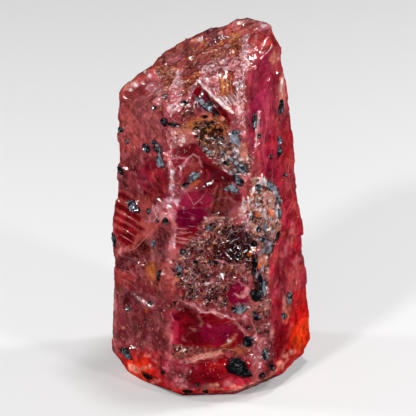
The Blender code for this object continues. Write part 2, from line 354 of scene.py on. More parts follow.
@dataclass(frozen=True)
class Weathering:
    """All that wore the crystal's faces or grew on them, at the scale of the solid."""

    def mark_height(self, mark: Mark, points: Points) -> Points:
        """The height that a lump or pit adds at each point."""
        centre, normal = sight(mark.pixel, mark.side)
        upright = np.array([0.0, 0.0, 1.0]) - normal[2] * normal
        upright /= np.linalg.norm(upright)
        right = np.cross(upright, normal)
        turn = math.radians(mark.turn)
        along = math.cos(turn) * upright + math.sin(turn) * right
        aside = np.cross(along, normal)
        offset = points - centre
        rim = np.hypot(offset @ along / (mark.length / 2), offset @ aside / (mark.width / 2))
        near = (rim < 2) & (np.abs(offset @ normal) < 1.4)
        height = np.zeros(len(points))
        ragged = rim[near] + 0.25 * wander(points[near], 0.7, mark.length)
        height[near] = mark.rise * smooth((1 - ragged) / mark.edge)
        return height

    def ledge_height(self, ledge: Ledge, points: Points) -> Points:
        """The height that a broken edge adds at each point."""
        line = [sight(pixel, ledge.side)[0] for pixel in ledge.pixels]
        nearest = np.full(len(points), np.inf)
        for start, end in zip(line, line[1:]):
            run = end - start
            share = np.clip((points - start) @ run / (run @ run), 0, 1)
            gap = np.linalg.norm(points - start - share[:, None] * run, axis=1)
            nearest = np.minimum(nearest, gap)
        return ledge.rise * smooth(1 - nearest / ledge.width)

    def plate_height(self, points: Points, normals: Points) -> Points:
        """Thin plates along the basal parting, each a little out or back from the next."""
        level = (points[:, 2] + 0.6 * wander(points, 3.5, 5.0)) / PLATE_STEP
        plate = np.floor(level)
        share = smooth((level - plate) / 0.2)
        layers = []
        for layer in (plate - 1, plate):
            at = np.column_stack([points[:, :2] / 6.0, layer * 7.3])
            layers.append(wander(at, 1.0, 9.0))
        blend = layers[0] * (1 - share) + layers[1] * share
        return PLATE_HEIGHT * blend * (1 - normals[:, 2] ** 2)

    def chip_height(self, points: Points, normals: Points) -> Points:
        """Small flat breaks: each cell of the surface leans its own way."""
        top = smooth((np.abs(normals[:, 2]) - 0.25) / 0.3) * (points[:, 2] > 12)
        amount = SIDE_CHIPS + (TOP_CHIPS - SIDE_CHIPS) * top
        height = np.zeros(len(points))
        for i, point in enumerate(points):
            place = Vector(point) / CHIP_LENGTH
            cell = noise.voronoi(place)[1][0]
            height[i] = (place - cell).dot(noise.noise_vector(cell * 3.1))
        return CHIP_HEIGHT * amount * height

    def applied(self, points: Points, normals: Points) -> Points:
        """The points moved in and out along their normals."""
        height = SWAY_HEIGHT * wander(points, SWAY_LENGTH)
        height += self.plate_height(points, normals)
        height += self.chip_height(points, normals)
        for ledge in LEDGES:
            height += self.ledge_height(ledge, points)
        for mark in (*PITS, *MICA_LUMPS, *BACK_MARKS):
            height += self.mark_height(mark, points)
        height *= smooth(points[:, 2] / BASE_FADE)
        return points + normals * height[:, None]


@dataclass(frozen=True)
class Brush:
    """One painted mark. Its weight is 1 inside it and falls to 0 over `soft` pixels.

    tint and strength say its colour; ragged is how far its edge wanders, in pixels. grain,
    frost, ore and crust say how much of each speckle it has, rise is its height in
    millimetres, and rough, where it is set, is the roughness there.
    """

    tint: Tint
    pixels: Pixels
    soft: float = 4.0
    strength: float = 1.0
    ragged: float = 2.0
    grain: float | None = None
    frost: float | None = None
    ore: float | None = None
    crust: float | None = None
    rise: float = 0.0
    rough: float | None = None

    def reach(self) -> float:
        """How far the mark may spread beyond its pixels."""
        return self.soft + self.ragged * 2 + 2

    def depth(self, column: Points, row: Points) -> Points:
        """How far inside the mark each point is, in pixels; below 0 it is outside."""
        raise NotImplementedError


@dataclass(frozen=True)
class Area(Brush):
    """A patch inside a ring of pixels."""

    def depth(self, column: Points, row: Points) -> Points:
        """How far inside the ring each point is."""
        nearest = np.full(len(column), np.inf)
        inside = np.zeros(len(column), bool)
        corners = self.pixels
        for (x0, y0), (x1, y1) in zip(corners, corners[1:] + corners[:1]):
            run_x, run_y = x1 - x0, y1 - y0
            square = max(run_x * run_x + run_y * run_y, 1e-9)
            share = np.clip(((column - x0) * run_x + (row - y0) * run_y) / square, 0, 1)
            gap = (column - x0 - share * run_x) ** 2 + (row - y0 - share * run_y) ** 2
            nearest = np.minimum(nearest, gap)
            if run_y:
                crossed = ((y0 > row) != (y1 > row)) & (column < run_x * (row - y0) / run_y + x0)
                inside ^= crossed
        return np.sqrt(nearest) * np.where(inside, 1, -1)


@dataclass(frozen=True)
class Stroke(Brush):
    """A line of pixels with a width; it thins towards its ends."""

    width: float = 3.0
    taper: float = 0.5

    def reach(self) -> float:
        """How far the line may spread beyond its pixels."""
        return self.soft + self.ragged * 2 + self.width + 2

    def depth(self, column: Points, row: Points) -> Points:
        """How far inside the line each point is."""
        lengths = [math.dist(a, b) for a, b in zip(self.pixels, self.pixels[1:])]
        total, passed = sum(lengths), 0.0
        best = np.full(len(column), -np.inf)
        for (x0, y0), (x1, y1), length in zip(self.pixels, self.pixels[1:], lengths):
            run_x, run_y = x1 - x0, y1 - y0
            share = ((column - x0) * run_x + (row - y0) * run_y) / max(length * length, 1e-9)
            share = np.clip(share, 0, 1)
            gap = np.hypot(column - x0 - share * run_x, row - y0 - share * run_y)
            along = (passed + share * length) / total
            half = self.width / 2 * (1 - self.taper * np.abs(2 * along - 1) ** 2)
            best = np.maximum(best, half - gap)
            passed += length
        return best


@dataclass(frozen=True)
class Spot(Brush):
    """An oval: its one pixel is its centre, and size is its half width and half height."""

    size: tuple[float, float] = (4.0, 4.0)
    turn: float = 0.0

    def reach(self) -> float:
        """How far the oval may spread beyond its centre."""
        return self.soft + self.ragged * 2 + max(self.size) + 2

    def depth(self, column: Points, row: Points) -> Points:
        """How far inside the oval each point is."""
        (x, y), turn = self.pixels[0], math.radians(self.turn)
        right = (column - x) * math.cos(turn) + (row - y) * math.sin(turn)
        down = -(column - x) * math.sin(turn) + (row - y) * math.cos(turn)
        rim = np.hypot(right / self.size[0], down / self.size[1])
        return (1 - rim) * min(self.size)


def spots(tint: Tint, centres: Pixels, size: tuple[float, float], **more: object) -> tuple[Spot, ...]:
    """Several ovals that are alike.

    Args:
        tint: Their colour.
        centres: Their pixels.
        size: Their half width and half height.
        more: Any other field of Spot.

    Returns:
        One oval for each centre.
    """
    return tuple(Spot(tint, (centre,), size=size, **more) for centre in centres)


FRONT_PAINT: tuple[Brush, ...] = (
    # The left face
    Area(T.ROSE, ((112, 84), (168, 84), (174, 230), (160, 400), (108, 400)), 8),
    Area(T.BRICK, ((118, 90), (150, 86), (150, 112), (140, 124), (118, 130)), 8, 0.7),
    Area(T.SALMON, ((126, 118), (152, 116), (152, 146), (126, 150)), 10, 0.7, rough=0.14),
    Area(T.MAUVE, ((128, 104), (160, 104), (164, 130), (136, 120)), 8, 0.45, rough=0.14),
    Area(T.MAUVE, ((116, 100), (164, 98), (166, 150), (140, 156), (116, 146)), 10, 0.4, 4, rough=0.145),
    Area(T.BRICK, ((114, 130), (130, 138), (150, 150), (152, 168), (128, 176), (112, 170)), 8, 0.6),
    Area(T.PLUM, ((132, 152), (156, 160), (170, 176), (170, 206), (150, 208), (130, 190)), 9, 0.5, 4),
    Area(T.UMBER, ((120, 166), (127, 170), (130, 188), (123, 186)), 5, 0.7),
    Area(T.WINE, ((134, 182), (142, 162), (156, 158), (168, 178), (168, 200), (150, 204)), 6, 0.95, rough=0.14),
    Area(T.MAGENTA, ((136, 178), (144, 166), (152, 176), (150, 190), (138, 188)), 5, 0.5),
    *(Stroke(T.SALMON, line, 1.6, 0.55, 0.8, width=1.8)
      for line in (((133, 177), (141, 167), (150, 159)), ((136, 180), (148, 182), (158, 190)), ((150, 162), (154, 178), (166, 194)),
                   ((140, 186), (150, 192), (160, 196)), ((130, 168), (138, 160), (146, 156)))),
    *(Stroke(T.OCHRE, line, 1.4, 0.8, 0.6, width=1.8)
      for line in (((139, 216), (143, 212)), ((145, 206), (147, 194)), ((150, 205), (149, 196)))),
    Area(T.SALMON, ((113, 184), (128, 190), (160, 208), (158, 224), (140, 246), (120, 242), (113, 226)), 4, 0.9, rough=0.13),
    *(Stroke(T.CRIMSON, ((x, y), (x + w / 2, y + w * 0.3), (x + w, y + w * 0.62)), 1.5, 0.95, 0.6, width=thick, taper=0.2, rough=0.1)
      for x, y, w, thick in ((114, 190, 20, 6), (114, 203, 26, 6), (115, 213, 28, 5), (115, 221, 28, 6), (116, 230, 26, 6), (120, 238, 18, 6))),
    *(Stroke(T.DARK_RED, ((x, y), (x + 8, y + 5)), 1.5, 0.8, 0.6, width=4) for x, y in ((116, 191), (118, 205), (120, 223), (124, 233), (124, 240))),
    Stroke(T.SALMON, ((116, 254), (134, 248), (150, 232), (166, 212)), 4, 0.95, 1.5, width=9, taper=0.2, rise=0.03),
    Spot(T.PALE_PINK, ((119, 252),), 2, 0.7, 1, size=(2.2, 3.5), turn=40),
    Area(T.PALE_PINK, ((146, 222), (156, 204), (170, 197), (179, 203), (176, 213), (166, 221)), 4, 0.9, 1.5, frost=0.3),
    Area(T.DULL_ROSE, ((132, 250), (150, 236), (166, 224), (172, 240), (170, 262), (150, 262), (136, 266)), 6, 0.9),
    Area(T.PLUM, ((136, 254), (150, 242), (166, 232), (170, 252), (156, 260)), 6, 0.5, 3),
    *spots(T.DARK_RED, ((145, 246), (163, 240), (128, 259)), (5, 6), soft=4, strength=0.8),
    Stroke(T.SOOT, ((168, 247), (166, 255), (163, 261)), 1.5, 0.9, 0.6, width=3.5),
    Spot(T.SAND, ((154, 248),), 3, 0.8, 1, grain=0.3, size=(3, 8), turn=-8),
    Area(T.PLUM, ((114, 258), (128, 250), (140, 256), (134, 268), (118, 272)), 5, 0.8),
    Spot(T.WINE, ((133, 268),), 4, 0.9, size=(5, 4)),
    Area(T.SALMON, ((138, 262), (156, 258), (168, 264), (168, 288), (150, 292), (138, 280)), 6, 0.75, grain=0.2),
    Area(T.OCHRE, ((147, 261), (157, 262), (159, 277), (151, 280), (145, 271)), 3, 1.0, 1.5, rough=0.1),
    *spots(T.SAND, ((148, 266), (154, 274), (155, 265)), (2.4, 1.6), soft=2, strength=0.6, ragged=1.2, rough=0.1),
    Spot(T.RUST, ((149, 264),), 2, 0.9, 1, size=(3, 2), rough=0.1),
    *spots(T.GRAPHITE, ((135, 297), (156, 300), (160, 311), (139, 301)), (4, 2.4), soft=3, strength=0.5, ragged=2.4, turn=30),
    *spots(T.DARK_RED, ((122, 262), (130, 256), (136, 284), (143, 316)), (6, 3.6), soft=4, strength=0.7, ragged=3, turn=-30, rough=0.12),
    Stroke(T.UMBER, ((155, 262), (159, 272), (156, 286)), 2, 0.7, 1, width=4),
    Area(T.BRICK, ((113, 272), (138, 276), (160, 292), (150, 298), (114, 290)), 6, 0.7),
    Area(T.DARK_RED, ((113, 288), (130, 290), (130, 306), (114, 304)), 5, 0.85),
    Area(T.WINE, ((130, 292), (160, 290), (162, 318), (136, 318)), 7, 0.8, grain=0.2),
    *spots(T.PLUM, ((122, 264), (136, 288), (124, 300), (150, 320), (132, 326)), (9, 6), soft=8, strength=0.6, ragged=4),
    Spot(T.UMBER, ((166, 307),), 3, 0.85, size=(5, 4), turn=30, grain=0.2),
    Area(T.DULL_ROSE, ((120, 314), (166, 314), (168, 344), (150, 352), (120, 344)), 8, 0.7),
    Stroke(T.PALE_PINK, ((113, 286), (113, 320), (115, 350)), 4, 0.55, 1, width=6, taper=0.2),
    *spots(T.PEACH, ((123, 328), (144, 343), (150, 350), (138, 336)), (1.8, 2.2), soft=2, strength=0.9, ragged=0.8),
    Spot(T.WINE, ((143, 300),), 5, 0.5, size=(12, 8), turn=30, rough=1.0),
    Spot(T.ORANGE, ((146, 310),), 1.5, 0.8, 0.6, size=(1.4, 2.6)),
    *spots(T.SAND, ((127, 310), (150, 305), (156, 299), (136, 296), (160, 296)), (3, 2.2), soft=2, strength=0.6),
    Area(T.BRICK, ((114, 346), (140, 346), (160, 356), (160, 372), (130, 370)), 8, 0.8),
    # The lower left corner, lit through
    Area(T.SCARLET, ((118, 356), (134, 346), (160, 352), (170, 390), (148, 394), (120, 372)), 10, 0.75, 3, rough=0.12),
    Area(T.GLOW_RED, ((124, 364), (134, 356), (154, 360), (160, 384), (146, 390), (124, 374)), 8, 0.85, 3, rough=0.12),
    *(Stroke(tint, ((x, 346), (x - 3, 360), (x + 1, 374)), 2, 0.6, 1.5, width=3)
      for tint, x in ((T.SALMON, 138), (T.DARK_RED, 143), (T.GLOW_ORANGE, 148), (T.WINE, 153), (T.SALMON, 159), (T.DARK_RED, 164))),
    Area(T.GLOW_ORANGE, ((128, 364), (142, 358), (152, 370), (150, 384), (130, 376)), 7, 0.9, 3, rough=0.12),
    # Painted highlights of the light from below, on and near the corner's rim.
    *spots(T.GLOW_PINK, ((131, 368), (136, 371), (143, 369), (149, 367)), (3.4, 2.6), soft=3, strength=0.85, ragged=1.6),
    *spots(T.GLOW_PINK, ((157, 381), (146, 356), (152, 384)), (3, 1.6), soft=3, strength=0.7, ragged=1.6),
    Stroke(T.DARK_RED, ((142, 373), (149, 378), (156, 379)), 2, 0.95, 1.2, width=5),
    # Painted light on the left face: its upper part lightened as a painted sheen, its middle and foot darkened as
    # painted shade.
    Area(T.DARK_RED, ((112, 150), (168, 156), (170, 344), (112, 340)), 14, 0.16, 5),
    Area(T.SALMON, ((116, 96), (164, 96), (166, 146), (114, 150)), 10, 0.25, 4),
    # The shoulder and the slope of the top
    Area(T.DULL_ROSE, ((150, 60), (236, 14), (280, 14), (250, 60), (200, 76), (170, 92)), 5),
    Area(T.SALMON, ((150, 62), (190, 36), (236, 18), (250, 30), (236, 56), (190, 70), (164, 82)), 6, 0.85, 3, grain=0.1),
    Area(T.SALMON, ((118, 86), (128, 74), (152, 62), (174, 64), (178, 80), (150, 84), (126, 92)), 5, 0.95, frost=0.1),
    Area(T.PEACH, ((120, 88), (126, 80), (140, 82), (138, 88), (126, 92)), 3, 0.6, frost=0.3),
    *spots(T.BRICK, ((136, 80), (148, 80), (160, 74), (168, 66), (142, 74)), (4, 2.4), soft=3, strength=0.6, ragged=2.4, turn=-30),
    # Painted glints on the shoulder.
    *spots(T.FROST, ((145, 71), (150, 76), (136, 86), (152, 86), (157, 95), (162, 101)), (1.6, 2.2), soft=1.6, ragged=0.8),
    Area(T.SALMON, ((160, 62), (178, 42), (200, 34), (196, 56), (176, 66)), 5, 0.8, grain=0.25),
    Area(T.OCHRE, ((178, 50), (198, 46), (200, 62), (184, 60)), 5, 0.45, grain=0.4),
    Area(T.RUST, ((184, 56), (196, 54), (196, 72), (186, 72)), 4, 0.9, grain=0.3),
    Area(T.MAUVE, ((164, 52), (182, 54), (184, 66), (168, 66)), 4, 0.6),
    Area(T.MAUVE, ((186, 38), (198, 34), (200, 46), (190, 48)), 3, 0.6),
    Area(T.RUST, ((158, 68), (178, 64), (176, 84), (160, 82)), 5, 0.75, ore=0.6),
    Area(T.PLUM, ((202, 30), (224, 28), (224, 46), (208, 48)), 5, 0.9, grain=0.35),
    Area(T.RUST, ((196, 48), (222, 44), (240, 32), (242, 54), (222, 62), (200, 60)), 5, 0.6, ore=0.5),
    Area(T.OCHRE, ((226, 36), (242, 30), (240, 54), (230, 54)), 4, 0.75, ore=0.4),
    *spots(T.GOLD, ((238, 36), (239, 46), (215, 60), (233, 57), (221, 44), (202, 43), (224, 54)), (2, 2.4), soft=2, strength=0.8, ragged=1),
    Area(T.PALE_PINK, ((230, 20), (248, 15), (268, 18), (272, 30), (258, 36), (246, 28), (234, 30)), 4, 0.8, frost=0.3),
    Area(T.RUST, ((242, 24), (258, 24), (258, 30), (244, 32)), 3, 0.8, grain=0.2),
    # Painted glints on the top slope.
    *spots(T.FROST, ((239, 23), (263, 28), (211, 29), (200, 40), (227, 47)), (2.4, 2), soft=1.6, ragged=0.8),
    *spots(T.PEACH, ((170, 58), (180, 46), (190, 58), (194, 40), (208, 40), (212, 52), (232, 40), (220, 34), (174, 70), (205, 56)), (3.4, 1.8),
           turn=-34, soft=1.4, strength=0.9, ragged=2.2),
    *spots(T.COCOA, ((176, 64), (188, 48), (204, 44), (216, 38), (226, 50), (198, 64), (236, 48), (168, 72)), (3, 1.8), turn=-34, soft=1.6,
           strength=0.75, ragged=1.8),
    # The front face, from its top edge down
    Area(T.ROSE, ((164, 84), (250, 60), (250, 200), (172, 210)), 6),
    Area(T.PALE_PINK, ((146, 86), (164, 84), (166, 108), (156, 104)), 5, 0.7, frost=0.3),
    Stroke(T.UMBER, ((173, 74), (167, 88), (163, 110)), 2.5, 0.75, 1, width=5, ore=0.6),
    Area(T.RUST, ((170, 72), (178, 84), (196, 72), (204, 74), (190, 100), (182, 100)), 5, 0.75, ore=0.5),
    Stroke(T.PALE_PINK, ((181, 70), (178, 86), (176, 100), (170, 116)), 3, 0.95, 1.5, width=10, frost=0.45, rise=0.05),
    Area(T.PALE_PINK, ((200, 70), (212, 60), (238, 60), (240, 76), (234, 98), (218, 98), (204, 88)), 4, 0.9, frost=0.6),
    Area(T.BRICK, ((206, 72), (216, 72), (216, 90), (208, 84)), 4, 0.6),
    Area(T.RUST, ((218, 71), (236, 73), (233, 84), (237, 97), (219, 98)), 1.6, 1.0, 0.8, rough=0.2),
    Area(T.OCHRE, ((221, 75), (231, 76), (230, 88), (233, 96), (221, 96)), 1.6, 1.0, 0.8, rough=0.2),
    *(Stroke(T.GOLD, ((x, 78), (x - 1, 88), (x + 1, 96)), 1, 0.9, 0.5, width=1.8) for x in (222, 227)),
    *(Stroke(T.UMBER, ((x, 80), (x - 1, 88), (x + 1, 94)), 1, 0.7, 0.5, width=1.6) for x in (224.5, 229.5)),
    Stroke(T.OCHRE, ((216, 96), (226, 99), (236, 98)), 1.6, 0.9, 0.8, width=3),
    # Painted highlight down the edge by the right face, over a frosted ridge.
    Stroke(T.FROST, ((251, 36), (246, 50), (242, 66), (239, 88), (241, 102)), 3, 0.85, 1.5, width=9, frost=0.8, rise=0.06),
    Spot(T.FROST, ((246, 45),), 3, 0.9, 1, size=(5, 9), turn=12, frost=0.6),
    Stroke(T.PALE_PINK, ((238, 96), (240, 116), (242, 134)), 3, 0.85, 1.5, width=9, frost=0.5, rise=0.04),
    Area(T.CRIMSON, ((188, 96), (200, 88), (212, 98), (222, 108), (230, 120), (228, 130), (214, 116), (196, 104)), 3, 1, 1, rough=0.12),
    Area(T.DARK_RED, ((204, 96), (214, 102), (226, 116), (226, 126), (212, 112)), 3, 0.9, 1, rough=0.12),
    Area(T.WINE, ((180, 104), (196, 100), (198, 116), (182, 124)), 4, 0.85, grain=0.2),
    Stroke(T.PALE_PINK, ((178, 112), (188, 100), (197, 86)), 1.8, 0.8, 1, width=3),
    # Painted highlights along the edges of the ledge.
    Stroke(T.FROST, ((198, 82), (206, 91), (213, 98)), 1.5, 1, 0.6, width=3, rise=0.06),
    Stroke(T.FROST, ((216, 100), (224, 108), (232, 114)), 1.5, 0.95, 0.6, width=3.5, rise=0.06),
    *(Stroke(T.FROST, ((x, 98), (x + 9, 107)), 1.2, 0.8, 0.4, width=1.5) for x in (219, 223, 227, 231)),
    Area(T.RUST, ((182, 108), (196, 108), (198, 122), (184, 124)), 3, 0.5, grain=0.6),
    Area(T.OCHRE, ((178, 126), (190, 122), (204, 116), (218, 118), (228, 126), (228, 136), (220, 142), (200, 146), (190, 136)), 3, 0.95, 1.5, ore=0.3),
    Area(T.RUST, ((206, 116), (220, 116), (228, 124), (220, 126)), 3, 0.6, 1.5, ore=0.4),
    Area(T.SOOT, ((191, 127), (202, 122), (214, 123), (224, 130), (223, 141), (214, 148), (199, 146), (191, 136)), 2.4, 1.0, 1.8, ore=0.2, rough=0.12),
    *spots(T.UMBER, ((197, 139), (206, 144), (218, 134), (203, 128), (215, 143)), (3, 2), soft=1.6, strength=0.75, ragged=1.6, ore=0.5),
    Spot(T.ORANGE, ((210, 118),), 1.5, 1, 0.5, size=(2, 1.6)),
    *spots(T.GOLD, ((204, 116), (199, 131), (213, 127), (225, 133), (191, 130), (207, 138), (217, 146), (194, 142)), (1.5, 1.2), soft=1.2, strength=0.8,
           ragged=0.8),
    Stroke(T.GOLD, ((190, 134), (193, 124), (204, 119), (216, 120), (224, 126)), 1.4, 0.6, 1.6, width=1.8, taper=0.2),
    Area(T.UMBER, ((198, 146), (222, 140), (240, 146), (252, 158), (250, 174), (232, 176), (212, 166)), 4, 0.95, 1.5, ore=0.25, crust=0.45, rough=0.2),
    Area(T.SOOT, ((226, 152), (238, 152), (240, 166), (232, 170)), 3, 0.8, 1.5, crust=0.3),
    *spots(T.SOOT, ((206, 152), (216, 158), (224, 166), (236, 172), (212, 148), (246, 168), (228, 150)), (3.4, 1.8), turn=36, soft=1.4,
           strength=0.9, ragged=1.6, crust=0.15),
    *spots(T.SILVER, ((211, 154), (220, 162), (230, 172), (224, 146), (240, 160), (247, 160)), (2.4, 1.3), turn=36, soft=1.2, strength=0.85,
           ragged=1.4, rough=0.12),
    *spots(T.PEACH, ((216, 151), (226, 158), (233, 146), (219, 169), (241, 174)), (1.8, 1.4), soft=1.2, strength=0.8, ragged=1.2),
    Stroke(T.COCOA, ((196, 148), (206, 160), (220, 172), (234, 178)), 2, 0.85, 1.4, width=4),
    Area(T.PEACH, ((240, 144), (245, 143), (248, 156), (244, 164), (240, 156)), 2, 0.95, 0.8),
    # Painted glint at the top of the left-front edge, over frosted stone.
    Area(T.FROST, ((166, 132), (178, 130), (180, 142), (170, 144)), 3, 0.85, 1.5, frost=0.9, rise=0.05),
    Area(T.PEACH, ((170, 128), (196, 132), (196, 142), (174, 148)), 4, 0.8, 1.5, frost=0.35),
    Area(T.WINE, ((172, 150), (196, 146), (210, 158), (222, 170), (240, 178), (228, 190), (200, 192), (176, 176)), 5, 0.95, rough=0.12),
    Area(T.DARK_RED, ((200, 160), (226, 174), (236, 182), (218, 196), (206, 190)), 5, 0.92, rough=0.12),
    *spots(T.SOOT, ((214, 174), (226, 182), (208, 184)), (5, 2), soft=3, strength=0.6, ragged=2, turn=34),
    Stroke(T.RASPBERRY, ((203, 186), (209, 178), (206, 170)), 1.6, 0.6, 0.8, width=2.4),
    *spots(T.PLUM, ((212, 176), (224, 184), (206, 186), (218, 192)), (7, 3), soft=5, strength=0.55, ragged=3, turn=-40),
    Area(T.DARK_RED, ((176, 148), (194, 146), (196, 156), (178, 156)), 3, 0.7),
    Area(T.BRICK, ((182, 176), (184, 166), (193, 157), (200, 166), (198, 176)), 3, 0.8, frost=0.15),
    Stroke(T.PALE_PINK, ((180, 177), (182, 168), (188, 159), (194, 155), (200, 159), (202, 168)), 1.2, 0.85, 0.5, width=2, taper=0.2),
    Stroke(T.PALE_PINK, ((171, 159), (179, 158), (187, 160)), 1.2, 0.8, 0.4, width=1.8),
    Stroke(T.PALE_PINK, ((186, 188), (190, 198), (195, 204), (201, 199), (208, 190)), 1.2, 0.75, 0.5, width=1.8, taper=0.2),
    Area(T.OCHRE, ((180, 186), (190, 184), (196, 178), (200, 182), (188, 192)), 2.5, 0.75, 1),
    # Painted highlight down the left-front edge, over a frosted ridge, with painted glints.
    Stroke(T.PALE_PINK, ((172, 130), (171, 150), (172, 172), (172, 188), (174, 202)), 3, 0.6, 1.6, width=5, frost=0.5, rise=0.05),
    *spots(T.FROST, ((173, 172), (172, 186), (171, 200), (177, 202)), (2.4, 3), soft=2, ragged=1),
    Area(T.MAGENTA, ((178, 202), (190, 192), (212, 190), (214, 206), (200, 210), (180, 210)), 4, 0.95, rough=0.1),
    Area(T.DEEP_MAGENTA, ((174, 212), (186, 206), (206, 208), (206, 216), (196, 228), (178, 228)), 4, 1, rough=0.1),
    Stroke(T.MAGENTA, ((174, 209), (190, 208), (206, 208)), 1.5, 0.7, 0.5, width=1.8),
    Spot(T.PALE_PINK, ((193, 219),), 1.6, 0.8, 0.6, size=(2, 1.4)),
    Area(T.CRIMSON, ((176, 228), (200, 226), (206, 234), (188, 248), (174, 246)), 4, 0.95, rough=0.12),
    *(Stroke(T.PALE_PINK, ((174, y), (181, y + 1), (188, y + 2)), 1.4, 0.7, 0.6, width=1.8) for y in (227, 231, 237, 241)),
    Stroke(T.PALE_PINK, ((173, 206), (174, 224), (173, 248), (171, 262)), 3, 0.65, 1.5, width=6, frost=0.35, rise=0.03),
    Area(T.DARK_RED, ((210, 190), (236, 188), (242, 198), (226, 216), (212, 212)), 5, 0.9, rough=0.14),
    *(Stroke(T.SAND, ((x, 186), (x - 3, 198), (x - 6, 212)), 2.2, 0.3, 1, width=2.2) for x in (216, 222, 229)),
    # The granular brown field and the dark hollow
    Area(T.COCOA, ((176, 262), (186, 246), (204, 226), (226, 214), (246, 222), (250, 250), (250, 298), (176, 300)), 6, 0.85, 3, grain=0.55, rough=0.2),
    Area(T.PLUM, ((176, 258), (188, 250), (204, 256), (214, 272), (212, 290), (194, 296), (176, 284)), 6, 0.55, 3, grain=0.75),
    *spots(T.SOOT, ((196, 252), (206, 256), (188, 262), (200, 268), (212, 286), (184, 280), (194, 290), (220, 300), (212, 238)), (4, 2.6),
           soft=2, strength=0.85, ragged=2.4, grain=0.3, turn=-20),
    *spots(T.DULL_ROSE, ((184, 270), (204, 276), (192, 278), (178, 288), (206, 298)), (4, 3), soft=2, strength=0.7, ragged=2.4, grain=0.5),
    Area(T.SAND, ((196, 234), (206, 222), (222, 216), (230, 222), (222, 236), (206, 244), (194, 246)), 5, 0.75, 3, grain=0.5),
    Area(T.RUST, ((186, 244), (204, 240), (222, 240), (218, 250), (198, 252), (188, 256)), 4, 0.75, 2.5, grain=0.6),
    Stroke(T.PEACH, ((201, 226), (207, 220), (216, 216), (226, 218)), 2.4, 0.8, 1.5, width=4, frost=0.4),
    Spot(T.SOOT, ((214, 213),), 3, 0.6, size=(6, 4)),
    Area(T.BRICK, ((228, 206), (246, 202), (244, 216), (236, 226), (230, 220)), 4, 0.8),
    Area(T.ROSE, ((232, 210), (242, 208), (242, 226), (234, 226)), 3, 0.6),
    Stroke(T.FROST, ((244, 200), (243, 212), (246, 228)), 2.5, 0.85, 1.2, width=6, frost=0.7, rise=0.05),
    Area(T.COCOA, ((212, 246), (228, 240), (248, 244), (252, 258), (236, 262), (214, 260)), 3, 1.0, 2, grain=0.06, rough=0.1),
    *spots(T.SOOT, ((220, 254), (232, 250), (246, 254), (238, 258)), (5, 3), soft=2, strength=0.9, ragged=2, grain=0.05, rough=0.1),
    Area(T.DARK_RED, ((218, 248), (228, 246), (230, 258), (220, 258)), 4, 0.35, 2, rough=0.1),
    Area(T.SOOT, ((226, 236), (234, 230), (248, 230), (254, 242), (248, 248), (232, 246)), 3, 1.0, 1.5, grain=0.1, rough=0.1),
    Area(T.PLUM, ((236, 233), (244, 232), (247, 237), (239, 239)), 2, 0.45, 1.2, rough=0.1),
    Area(T.SOOT, ((243, 247), (254, 247), (257, 262), (246, 262)), 2, 0.95, 1.5, rough=0.1),
    Stroke(T.GRAPHITE, ((247, 233), (252, 238), (257, 241)), 1.4, 0.7, 1, width=3),
    Area(T.RUST, ((213, 266), (238, 265), (240, 274), (228, 282), (212, 278)), 4, 0.75, 2, grain=0.15, rough=0.16),
    Area(T.COCOA, ((212, 268), (230, 268), (228, 279), (212, 277)), 4, 0.75, 2, rough=0.16),
    Stroke(T.PALE_PINK, ((215, 259), (228, 263), (246, 266)), 1, 0.9, 0.8, width=1.8),
    Area(T.SAND, ((238, 268), (250, 264), (252, 276), (242, 280)), 3, 0.6, 1.5, grain=0.5),
    Area(T.DEEP_MAGENTA, ((231, 279), (240, 278), (248, 284), (250, 304), (230, 305), (226, 296)), 3, 1.0, 1.5, rough=0.1),
    Area(T.DARK_RED, ((196, 286), (208, 282), (214, 290), (212, 304), (200, 304)), 4, 0.7, 2, grain=0.4),
    Spot(T.PALE_PINK, ((246, 291),), 2, 0.9, size=(3, 5.5), turn=20),
    Stroke(T.PALE_PINK, ((230, 278), (240, 282), (252, 290)), 1.4, 0.6, 0.6, width=1.8),
    Stroke(T.PALE_PINK, ((234, 292), (240, 296), (245, 298)), 1.2, 0.8, 0.6, width=1.8),
    Spot(T.PALE_PINK, ((213, 281),), 2, 0.85, size=(4, 3), frost=0.4),
    Spot(T.WINE, ((180, 291),), 2.4, 0.95, size=(5, 4)),
    Spot(T.RUST, ((180, 294),), 2, 0.7, size=(4, 2)),
    Spot(T.OCHRE, ((176, 280),), 2.5, 0.85, size=(3, 3)),
    *spots(T.GOLD, ((202, 293), (180, 259), (205, 261), (211, 246), (190, 237), (216, 229), (196, 300)), (1.6, 1.2), soft=1.4, strength=0.9, ragged=0.8),
    # Painted glints in the brown field.
    *spots(T.FROST, ((200, 249), (186, 254), (207, 283), (222, 266), (219, 232), (205, 218), (208, 230), (186, 282), (178, 302), (190, 268)), (1.5, 1.2), soft=1.2, strength=0.95, ragged=0.8),
    Area(T.SALMON, ((172, 298), (190, 302), (208, 306), (208, 314), (186, 312), (172, 312)), 4, 0.7, 2, grain=0.5),
    Area(T.UMBER, ((214, 294), (226, 294), (228, 306), (218, 310)), 3, 0.85, 1.5, grain=0.4),
    # The crust on the right-front edge
    Area(T.SAND, ((252, 180), (262, 176), (274, 184), (281, 200), (280, 228), (274, 246), (260, 252), (250, 236), (248, 208)), 3, 0.95, 2, crust=0.6, rough=0.18, rise=0.08),
    Area(T.OCHRE, ((250, 182), (258, 184), (258, 202), (248, 206)), 3, 0.8, crust=0.4),
    Area(T.PEACH, ((258, 192), (270, 190), (272, 212), (262, 218)), 4, 0.85, 2, crust=0.3, rough=0.14),
    Area(T.RUST, ((262, 208), (274, 212), (270, 226), (258, 222)), 3, 0.7, 2, crust=0.35),
    Area(T.SOOT, ((250, 206), (258, 212), (256, 226), (250, 224)), 2.5, 0.8, 1.5, crust=0.35, rough=0.12),
